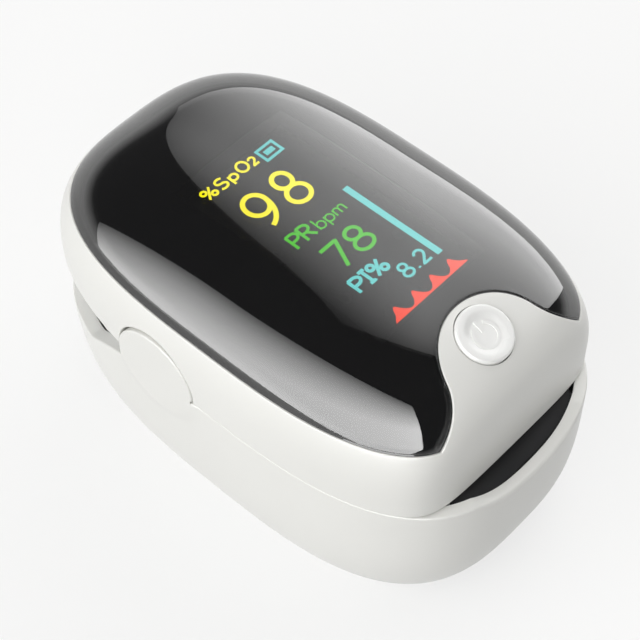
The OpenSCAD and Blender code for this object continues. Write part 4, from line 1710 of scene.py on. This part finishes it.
    def door(self) -> Mesh:
        """Door that follows the shell's skin, with ribs inside.

        Returns:
            A closed mesh.
        """
        turns = mirrored(self.form.even_turns(self.side_columns))
        rim = (turns, np.full(len(turns), self.door_top + self.door_spare))
        mesh = self.cup(rim, turns, self.door_lift, self.door_skin, self.door_rows, self.door_round)
        half, thick, (low, high) = self.rib_half, self.rib_thick / 2, self.rib_heights
        for y in (-self.rib_y, self.rib_y):
            rib = block((-half, y - thick, low), (half, y + thick, high))
            mesh = carve(mesh, rib, Cut.JOIN)
        return carve(mesh, self.door_block(0.0), Cut.KEEP)

    def pad(self) -> Mesh:
        """Trough-shaped soft pad with rounded lips and the hole of the light window.

        Returns:
            A closed mesh.
        """
        return PadForm(
            half_width=9.2, floor=14.25, lips=17.9, hollow=16.55, nose=27.2, end=8.4, up=False,
            slope=math.tan(math.radians(1.8)),
        ).mesh()

    def build(self) -> None:
        """Makes and dresses the lower jaw's own pieces."""
        settle("lower_shell_skin", self.shell(), SHELL_WHITE, Body.LOWER, Slot.SHELL, ["lower_shell"])
        settle("cell_door_skin", self.door(), SHELL_WHITE, Body.DOOR, Slot.SHELL, ["battery_door"])
        settle("lower_pad_trough", self.pad(), PAD_BLACK, Body.LOWER, Slot.PAD, ["lower_finger_pad"])


class Strokes:
    """Plain single-line figures in a box one unit high."""

    LINE_STEPS = (0.04, 0.5, 0.96, 1.0)
    RING_POINTS = 12
    RING_ROOM = 1e-6

    @staticmethod
    def arc(
        cx: float, cy: float, rx: float, ry: float, start: float, stop: float, steps: int = 26
    ) -> np.ndarray:
        """Places along part of an ellipse, by angles in degrees."""
        a = np.radians(np.linspace(start, stop, steps))
        return np.stack([cx + rx * np.cos(a), cy + ry * np.sin(a)], axis=1)

    @classmethod
    def line(cls, *places: Pair) -> np.ndarray:
        """Places along straight lines, each with a few steps.

        Args:
            *places: X and Y places of the corners.

        Returns:
            X and Y places.
        """
        rows = [np.array(places[0], float)]
        for first, second in zip(places, places[1:]):
            for t in cls.LINE_STEPS:
                rows.append(np.array(first) * (1 - t) + np.array(second) * t)
        return np.array(rows)

    @classmethod
    def is_ring(cls, path: np.ndarray) -> bool:
        """Whether a stroke runs round to its own start."""
        return len(path) > cls.RING_POINTS and np.linalg.norm(path[0] - path[-1]) < cls.RING_ROOM

    @classmethod
    def sign(cls, mark: str) -> tuple[float, list[np.ndarray]]:
        """Width and strokes of one mark.

        Args:
            mark: the mark.

        Returns:
            The width, and X and Y places of each stroke.
        """
        arc, line, join = cls.arc, cls.line, np.concatenate
        stem = line((0.06, 0.0), (0.06, 1.0))
        ring = arc(0.27, 0.28, 0.22, 0.29, 0, 360, 32)
        bowl = join([
            line((0.06, 0.98), (0.28, 0.98)),
            arc(0.28, 0.73, 0.26, 0.25, 90, -90),
            line((0.28, 0.48), (0.06, 0.48)),
        ])
        humps = [
            join([arc(x, 0.38, 0.16, 0.18, 180, 0, 14), line((x + 0.16, 0.36), (x + 0.16, 0.0))])
            for x in (0.22, 0.54)
        ]
        two_line = join([
            arc(0.28, 0.73, 0.26, 0.27, 165, -28, 26), line((0.47, 0.52), (0.02, 0.02), (0.56, 0.02)),
        ])
        s_line = join([
            arc(0.28, 0.75, 0.24, 0.24, 30, 262, 22), arc(0.28, 0.25, 0.25, 0.25, 85, -150, 22),
        ])
        rings = [arc(x, y, 0.15, 0.2, 0, 360, 24) for x, y in ((0.18, 0.76), (0.62, 0.24))]
        serifs = [line((0.02, y), (0.34, y)) for y in (0.98, 0.02)]
        shapes: dict[str, tuple[float, list[np.ndarray]]] = {
            "9": (0.62, [arc(0.31, 0.69, 0.29, 0.31, 0, 360, 48), arc(0.0, 0.64, 0.59, 0.62, 0, -75)]),
            "8": (0.62, [arc(0.31, 0.76, 0.23, 0.24, 0, 360, 44), arc(0.31, 0.26, 0.29, 0.26, 0, 360, 48)]),
            "7": (0.6, [line((0.02, 0.98), (0.58, 0.98), (0.2, 0.0))]),
            "2": (0.58, [two_line]),
            ".": (0.2, [line((0.1, 0.0), (0.1, 0.11))]),
            "%": (0.8, [*rings, line((0.16, 0.02), (0.64, 0.98))]),
            "S": (0.56, [s_line]),
            "O": (0.68, [arc(0.33, 0.5, 0.3, 0.49, 0, 360, 44)]),
            "P": (0.58, [stem, bowl]),
            "R": (0.62, [stem, bowl, line((0.28, 0.48), (0.58, 0.0))]),
            "p": (0.54, [line((0.06, 0.6), (0.06, -0.28)), ring]),
            "b": (0.54, [line((0.06, 0.98), (0.06, 0.0)), ring]),
            "m": (0.78, [line((0.06, 0.56), (0.06, 0.0)), *humps]),
            "I": (0.36, [line((0.18, 0.0), (0.18, 1.0)), *serifs]),
        }
        return shapes[mark]


@dataclass(frozen=True)
class FigureRow:
    """One row of marks on the display, from its left end and its foot.

    The gap is the space between marks as a share of the height, and narrow is the share of the
    marks' usual width.
    """

    text: str
    left: float
    foot: float
    height: float
    stroke: float
    gap: float
    narrow: float


@dataclass
class Display:
    """Lit figures on the display panel, seen through the window."""

    face: float = 30.2
    thick: float = 0.04
    oxygen_rows: tuple[FigureRow, ...] = (
        FigureRow("%SpO", left=-5.16, foot=10.1, height=1.4, stroke=0.26, gap=0.23, narrow=1.44),
        FigureRow("2", left=1.22928, foot=10.0, height=1.1, stroke=0.24, gap=0.16, narrow=1.15),
        FigureRow("98", left=-3.74, foot=3.08, height=4.63, stroke=0.52, gap=0.284, narrow=0.94),
    )
    pulse_rows: tuple[FigureRow, ...] = (
        FigureRow("PR", left=-3.73, foot=-0.62, height=1.88, stroke=0.3, gap=0.03, narrow=1.25),
        FigureRow("bpm", left=-0.5, foot=-0.62, height=1.6, stroke=0.17, gap=0.06, narrow=1.27),
        FigureRow("78", left=-2.72, foot=-5.55, height=3.14, stroke=0.4, gap=0.175, narrow=1.19),
    )
    index_rows: tuple[FigureRow, ...] = (
        FigureRow("PI%", left=-3.74, foot=-8.65, height=1.78, stroke=0.35, gap=0.04, narrow=1.36),
        FigureRow("8.2", left=0.63, foot=-10.82, height=1.71, stroke=0.28, gap=0.228, narrow=1.15),
    )
    index_plates: tuple[tuple[float, float, float, float], ...] = (
        (4.8, -11.0, 5.5, 1.35),
        (2.5, 9.35, 5.0, 9.65),
        (2.5, 11.0, 5.0, 11.3),
        (2.5, 9.65, 2.8, 11.0),
        (4.7, 9.65, 5.0, 11.0),
        (3.15, 10.0, 4.35, 10.65),
    )
    wave_left: float = -4.35
    wave_base: float = -14.05
    beat: float = 2.62
    beats: int = 4
    beat_shape: tuple[Pair, ...] = (
        (0.0, 0.7), (0.15, 0.8), (0.3, 1.15), (0.42, 1.75), (0.5, 2.0), (0.57, 1.95), (0.66, 1.5),
        (0.78, 1.05), (0.9, 0.8),
    )
    wave_ends: Pair = (0.3, 0.6)

    def write(self, maker: MeshMaker, rows: Sequence[FigureRow]) -> None:
        """Writes rows of marks.

        Args:
            maker: gathers the strokes.
            rows: the rows.
        """
        for row in rows:
            x = row.left
            for mark in row.text:
                width, strokes = Strokes.sign(mark)
                for path in strokes:
                    closed = Strokes.is_ring(path)
                    across = x + path[:, 0] * row.height * row.narrow
                    places = np.stack([across, row.foot + path[:, 1] * row.height], axis=1)
                    places = places[:-1] if closed else places
                    maker.ribbon(places, row.stroke, self.face, self.face + self.thick, closed)
                x += (width * row.narrow + row.gap) * row.height

    def plate(self, maker: MeshMaker, outline: Sequence[Pair]) -> None:
        """Adds a flat plate inside an outline of X and Y places.

        Args:
            maker: gathers the plate.
            outline: places of the corners.
        """
        levels = (self.face, self.face + self.thick)
        low, high = maker.sheet([np.array([(x, y, z) for x, y in outline]) for z in levels])
        maker.cap(low, turned=True)
        maker.cap(high)

    def oxygen(self) -> Mesh:
        """Yellow figures: the share of oxygen and its unit.

        Returns:
            The mesh.
        """
        maker = MeshMaker()
        self.write(maker, self.oxygen_rows)
        return maker.mesh("oxygen_form")

    def pulse(self) -> Mesh:
        """Green figures: the pulse rate and its unit.

        Returns:
            The mesh.
        """
        maker = MeshMaker()
        self.write(maker, self.pulse_rows)
        return maker.mesh("pulse_form")

    def index(self) -> Mesh:
        """Cyan figures: strength of the pulse, its bar and the cell sign.

        Returns:
            The mesh.
        """
        maker = MeshMaker()
        self.write(maker, self.index_rows)
        for left, low, right, high in self.index_plates:
            self.plate(maker, [(left, low), (right, low), (right, high), (left, high)])
        return maker.mesh("index_form")

    def wave(self) -> Mesh:
        """Red pulse wave filled down to its base line.

        Returns:
            The mesh.
        """
        first, last = self.wave_ends
        top = [(self.beat * (k + t), rise) for k in range(self.beats) for t, rise in self.beat_shape]
        top = [(0.0, first), *top[1:], (self.beats * self.beat, last)]
        x = self.wave_left + np.array([run for run, _ in top])
        foot = np.full(len(top), self.wave_base)
        edge = self.wave_base + np.array([rise for _, rise in top])
        low, high = np.full(len(top), self.face), np.full(len(top), self.face + self.thick)
        lines = ((foot, low), (edge, low), (edge, high), (foot, high))
        maker = MeshMaker()
        rows = maker.sheet([np.column_stack([x, y, z]) for y, z in lines], ring=True, closed=False)
        maker.cap(np.array([r[0] for r in rows]))
        maker.cap(np.array([r[-1] for r in rows]), turned=True)
        return maker.mesh("wave_form")

    def build(self) -> None:
        """Makes and lights the figures."""
        for name, mesh, finish in (
            ("oxygen_figures", self.oxygen(), FIGURE_YELLOW),
            ("pulse_figures", self.pulse(), FIGURE_GREEN),
            ("index_figures", self.index(), FIGURE_CYAN),
            ("pulse_wave", self.wave(), FIGURE_RED),
        ):
            settle(name, mesh, finish, Body.UPPER, Slot.DISPLAY)


@dataclass
class Wires:
    """Wound springs and the flat cable."""

    pivot_y: float = 6.1016
    pivot_z: float = 18.7
    wire: float = 0.5
    coil: float = 2.2
    leg: float = 6.3
    turns: int = 2
    outer_x: float = 13.4
    room: float = 2.746
    plate_top: float = 13.5484
    cell_z: float = 7.3984
    cell_x: float = 5.3
    contact_back: float = 23.2994
    contact_wire: float = 0.3
    contact_wide: float = 2.2
    contact_tip: float = 0.8
    contact_run: float = 0.9
    contact_turns: float = 1.5
    cable_half: float = 3.0
    cable_thick: float = 0.2
    leg_room: float = 0.1
    leg_start: float = 0.08
    leg_steps: int = 10
    coil_steps: int = 90
    contact_steps: int = 60
    cable_steps: int = 49
    cable_columns: int = 9
    cable_path: tuple[Pair, ...] = (
        (9.3, 13.848), (18.6, 13.848), (21.6, 16.548), (18.6006, 27.9),
    )

    def torsion(self, side: float) -> Mesh:
        """Torsion spring: a leg, the coil and a second leg.

        Args:
            side: 1 on the right and -1 on the left.

        Returns:
            The mesh.
        """
        drop = self.pivot_z - self.plate_top - self.wire / 2 - self.leg_room
        lean = math.asin(drop / math.hypot(self.coil, self.leg)) - math.atan(self.coil / self.leg)
        sweep = math.pi - 2 * lean + 2 * math.pi * self.turns
        t = np.linspace(0.0, 1.0, self.coil_steps)
        a = 1.5 * math.pi - lean - sweep * t
        x = self.outer_x - self.wire / 2 - (self.room - self.wire) * t
        y, z = self.pivot_y + self.coil * np.cos(a), self.pivot_z + self.coil * np.sin(a)
        coil = np.stack([x, y, z], axis=1)
        way = self.leg * np.array([0.0, math.cos(lean), math.sin(lean)])
        s = np.linspace(1.0, self.leg_start, self.leg_steps)[:, None]
        first = coil[0] + s * way * [1.0, 1.0, -1.0]
        last = coil[-1] + s[::-1] * way
        maker = MeshMaker()
        maker.tube(np.concatenate([first, coil, last]) * [side, 1.0, 1.0], self.wire / 2)
        return maker.mesh("torsion_form")

    def contacts(self) -> Mesh:
        """Two conical springs at the cells' flat ends.

        Returns:
            The mesh.
        """
        maker = MeshMaker()
        t = np.linspace(0.0, 1.0, self.contact_steps)
        a = 2 * math.pi * self.contact_turns * t
        r = self.contact_wide - (self.contact_wide - self.contact_tip) * t
        rise = self.contact_wire / 2 + self.contact_run * t
        for way in (1.0, -1.0):
            x, y = -way * self.cell_x, -way * self.contact_back
            path = np.stack([x + r * np.cos(a), y + way * rise, self.cell_z + r * np.sin(a)], axis=1)
            maker.tube(path, self.contact_wire / 2)
        return maker.mesh("contact_form")

    def cable(self) -> Mesh:
        """Flat cable that bends from the lower jaw's plate up to the main board.

        Returns:
            The mesh.
        """
        t = np.linspace(0.0, 1.0, self.cable_steps)[:, None]
        ends = np.array(self.cable_path)
        shares = [(1 - t) ** 3, 3 * t * (1 - t) ** 2, 3 * t * t * (1 - t), t ** 3]
        line = sum(share * end for share, end in zip(shares, ends))
        along = unit(np.gradient(line, axis=0))
        off = np.stack([-along[:, 1], along[:, 0]], axis=1) * self.cable_thick / 2
        n = self.cable_columns
        x = np.linspace(-self.cable_half, self.cable_half, n)
        round_x = np.concatenate([x, x[::-1]])
        side = np.repeat([1.0, -1.0], n)[:, None]
        rows = [np.column_stack([round_x, place + side * way]) for place, way in zip(line, off)]
        maker = MeshMaker()
        rings = maker.sheet(rows)
        for ring in (rings[0], rings[-1]):
            maker.bridge(ring[:n], ring[n:][::-1], closed=False)
        return maker.mesh("cable_form")

    def build(self) -> None:
        """Makes the springs and the cable; those between the jaws ride on no body."""
        settle("contact_springs", self.contacts(), WIRE_STEEL, Body.LOWER, Slot.SPRING, ["battery_springs"])
        for name, side in (("left", -1.0), ("right", 1.0)):
            node = f"torsion_spring_{name}"
            piece = settle(f"torsion_wire_{name}", self.torsion(side), WIRE_STEEL, None, Slot.SPRING, [node])
            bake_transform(piece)
        cable = settle("flat_cable", self.cable(), FLEX_AMBER, None, Slot.FLEX, ["flex_cable"])
        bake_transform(cable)


@dataclass(frozen=True)
class Fade:
    """Brightness that changes over part of a lamp's face, from one edge to the other."""

    start: float = 0.0
    stop: float = 1.0
    first: float = 1.0
    last: float = 1.0


class Seen(Enum):
    """Kinds of light that a soft box gives."""

    DIFFUSE = "diffuse"
    GLOSS = "gloss"


@dataclass(frozen=True)
class SoftBox:
    """Soft box that faces the part.

    The turn runs from +X towards +Y and the rise from the floor up, both to the middle of the
    box's plane and in degrees. The shift moves the box in that plane, and the roll turns it there.
    """

    name: str
    turn: float
    rise: float
    size: Pair
    radiance: float
    seen_by: Seen
    shift: Pair = (0.0, 0.0)
    roll: float = 0.0
    across: Fade = Fade()
    up: Fade = Fade()
    distance: float = 0.8

    def lamp(self) -> bpy.types.Light:
        """Lamp whose face fades as the box says.

        Returns:
            The lamp.
        """
        lamp = bpy.data.lights.new(self.name, "AREA")
        lamp.shape, lamp.size, lamp.size_y = "RECTANGLE", self.size[0], self.size[1]
        lamp.energy = self.radiance * math.pi * self.size[0] * self.size[1]
        lamp.use_nodes = True
        nodes = Nodes(lamp.node_tree)
        face = nodes.add("ShaderNodeSeparateXYZ")
        nodes.link(nodes.add("ShaderNodeNewGeometry").outputs["Parametric"], face.inputs["Vector"])
        shares = [
            nodes.ramp(face.outputs[axis], fade.start, fade.stop, fade.first, fade.last)
            for axis, fade in (("X", self.across), ("Y", self.up))
        ]
        glow = next(n for n in lamp.node_tree.nodes if n.type == "EMISSION")
        nodes.link(nodes.math("MULTIPLY", *shares), glow.inputs["Strength"])
        return lamp

    def hang(self, middle: Vector) -> None:
        """Hangs the box so that it faces a place.

        Args:
            middle: the place, in metres.
        """
        a, b = math.radians(self.turn), math.radians(self.rise)
        way = Vector((math.cos(b) * math.cos(a), math.cos(b) * math.sin(a), math.sin(b)))
        side = Vector((-math.sin(a), math.cos(a), 0.0))
        top = way.cross(side)
        thing = bpy.data.objects.new(self.name, self.lamp())
        bpy.context.scene.collection.objects.link(thing)
        place = middle + way * self.distance + side * self.shift[0] + top * self.shift[1]
        facing = Matrix((side, top, way)).transposed().to_4x4()
        rolled = Matrix.Rotation(math.radians(self.roll), 4, "Z")
        thing.matrix_world = Matrix.Translation(place) @ facing @ rolled
        thing.visible_camera = False
        thing.visible_diffuse = self.seen_by is not Seen.GLOSS
        thing.visible_glossy = thing.visible_transmission = self.seen_by is not Seen.DIFFUSE


@dataclass(frozen=True)
class Paper(Finish):
    """Pale floor paper that shows a little lighter than it lights the part."""

    name: str
    light: Colour
    deep: Colour
    lift: float
    rough: float = 0.8
    specular: float = 0.1
    grain: float = 900.0
    cloud: float = 3.0

    def dress(self, nodes: Nodes, shader: Node) -> None:
        """Mixes two slow tones, and lifts the paper where it is seen, mirrored or looked through to.

        Args:
            nodes: nodes of the material.
            shader: the material's own shader.
        """
        effect = place_group(nodes, Effects.moulded_grain(), Grain=self.grain, Cloud=self.cloud)
        nodes.link(nodes.mix(effect.outputs["Tone"], self.deep, self.light), shader.inputs["Base Color"])
        shader.inputs["Roughness"].default_value = self.rough
        shader.inputs["Specular IOR Level"].default_value = self.specular
        ray = nodes.add("ShaderNodeLightPath")
        seen = nodes.math("MAXIMUM", ray.outputs["Is Glossy Ray"], ray.outputs["Is Transmission Ray"])
        seen = nodes.math("MAXIMUM", seen, ray.outputs["Is Camera Ray"])
        glow = nodes.mix(seen, (0.0, 0.0, 0.0), (self.lift, self.lift, self.lift))
        nodes.link(glow, shader.inputs["Emission Color"])
        shader.inputs["Emission Strength"].default_value = 1.0


@dataclass
class Studio:
    """Pale floor, soft boxes, sky and camera."""

    turn: float = -47.7
    rise: float = 52.1
    distance: float = 0.195
    view: float = 19.5
    middle: tuple[float, float, float] = (0.0, 0.0, 0.0155)
    clip: Pair = (0.01, 20.0)
    floor_reach: float = 700.0
    floor_level: float = -0.02
    paper: Paper = Paper("floor_paper", light=(0.30, 0.30, 0.295), deep=(0.29, 0.29, 0.285), lift=0.66)
    ceiling_rise: Pair = (0.02, 0.2)
    room_tones: tuple[Colour, Colour] = ((0.25, 0.25, 0.25), (0.30, 0.30, 0.30))
    seen_tones: tuple[Colour, Colour] = ((0.94, 0.94, 0.94), (0.09, 0.09, 0.093))

    def floor(self) -> None:
        """Wide pale floor."""
        maker = MeshMaker()
        reach, level = self.floor_reach, self.floor_level
        corners = [(-reach, -reach), (reach, -reach), (reach, reach), (-reach, reach)]
        maker.cap(maker.loop([[x, y, level] for x, y in corners]))
        floor = link("floor", maker.mesh("floor_form"))
        floor.data.materials.append(self.paper.material())

    def sky(self) -> None:
        """White near the horizon and dim overhead, as in a room with a dark ceiling."""
        world = bpy.data.worlds.new("studio_room")
        bpy.context.scene.world = world
        world.use_nodes = True
        nodes = Nodes(world.node_tree)
        world.node_tree.nodes.clear()
        place = nodes.add("ShaderNodeTexCoord")
        split = nodes.add("ShaderNodeSeparateXYZ")
        nodes.link(place.outputs["Generated"], split.inputs["Vector"])
        share = nodes.ramp(split.outputs["Z"], *self.ceiling_rise, 0.0, 1.0)
        room, shown = (nodes.mix(share, *tones) for tones in (self.room_tones, self.seen_tones))
        ray = nodes.add("ShaderNodeLightPath")
        bright = nodes.math("MAXIMUM", ray.outputs["Is Glossy Ray"], ray.outputs["Is Transmission Ray"])
        seen = nodes.math("MAXIMUM", ray.outputs["Is Camera Ray"], bright)
        shader = nodes.add("ShaderNodeBackground")
        nodes.link(nodes.mix(seen, room, shown), shader.inputs["Color"])
        nodes.link(shader.outputs["Background"], nodes.add("ShaderNodeOutputWorld").inputs["Surface"])

    def camera(self) -> None:
        """Camera at the picture's angle."""
        a, b = math.radians(self.turn), math.radians(self.rise)
        back = Vector((math.sin(a) * math.cos(b), -math.cos(a) * math.cos(b), math.sin(b)))
        data = bpy.data.cameras.new("camera")
        data.angle = math.radians(self.view)
        data.clip_start, data.clip_end = self.clip
        thing = bpy.data.objects.new("camera", data)
        bpy.context.scene.collection.objects.link(thing)
        thing.location = Vector(self.middle) + back * self.distance
        thing.rotation_euler = back.to_track_quat("Z", "Y").to_euler()
        bpy.context.scene.camera = thing

    def build(self) -> None:
        """Sets the studio up."""
        self.floor()
        self.sky()
        middle = Vector(self.middle)
        right = {
            "turn": 30.0, "rise": 35.0, "roll": 12.0,
            "across": Fade(0.59, 1.0, last=0.137), "up": Fade(0.3, 1.0, last=0.128),
        }
        for box in (
            SoftBox(
                "right_box", size=(1.32, 1.376), radiance=1.95, seen_by=Seen.DIFFUSE,
                shift=(-0.242, 0.144), **right,
            ),
            SoftBox(
                "right_card", size=(1.2375, 1.29), radiance=3.0, seen_by=Seen.GLOSS,
                shift=(-0.227, 0.135), distance=0.75, **right,
            ),
            SoftBox(
                "left_box", turn=180.0, rise=26.0, size=(1.5, 1.0), radiance=1.95, seen_by=Seen.DIFFUSE,
            ),
            SoftBox(
                "left_card", turn=175.0, rise=20.0, size=(2.08, 1.2), radiance=6.0, seen_by=Seen.GLOSS,
                shift=(0.056, 0.072), roll=31.2, across=Fade(first=0.58), up=Fade(0.547, 1.0, last=0.138),
            ),
        ):
            box.hang(middle)
        self.camera()
        bpy.context.scene.view_settings.view_transform = "Standard"


def dress_solids() -> None:
    """Gives the solids that stay their finishes."""
    finishes: dict[str, Finish] = {
        "lower_frame": FRAME_GREY, "upper_frame": FRAME_GREY,
        "detector_window": LIGHT_CLEAR, "emitter_window": LIGHT_CLEAR,
        "photodiode": CHIP_BLACK, "board_chips": CHIP_BLACK,
        "sensor_board": BOARD_GREEN, "main_board": BOARD_GREEN, "switch_board": BOARD_GREEN,
        "battery_left": CELL_LEFT, "battery_right": CELL_RIGHT,
        "battery_contacts": CONTACT_BRASS, "battery_bridge": CONTACT_BRASS,
        "lower_screws": SCREW_STEEL, "upper_screws": SCREW_STEEL,
        "pivot_pin_left": WIRE_STEEL, "pivot_pin_right": WIRE_STEEL,
        "display_gasket": FOAM_BLACK, "oled_panel": PANEL_BLACK,
        "led_emitter": EMITTER_WHITE, "tact_switch": SCREW_STEEL,
    }
    for name, finish in finishes.items():
        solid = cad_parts[name]
        solid.data.materials.clear()
        solid.data.materials.append(finish.material())
        LOG.info("%s: solid kept, finish %s", name, finish.name)


def main() -> None:
    """Builds the studio and the pieces in order."""
    logging.basicConfig(level=logging.INFO, format="%(name)s %(message)s")
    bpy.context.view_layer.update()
    form = BodyForm()
    Studio().build()
    dress_solids()
    LowerJaw(form).build()
    UpperJaw(form).build()
    Display().build()
    Wires().build()


if __name__ == "__main__":
    main()
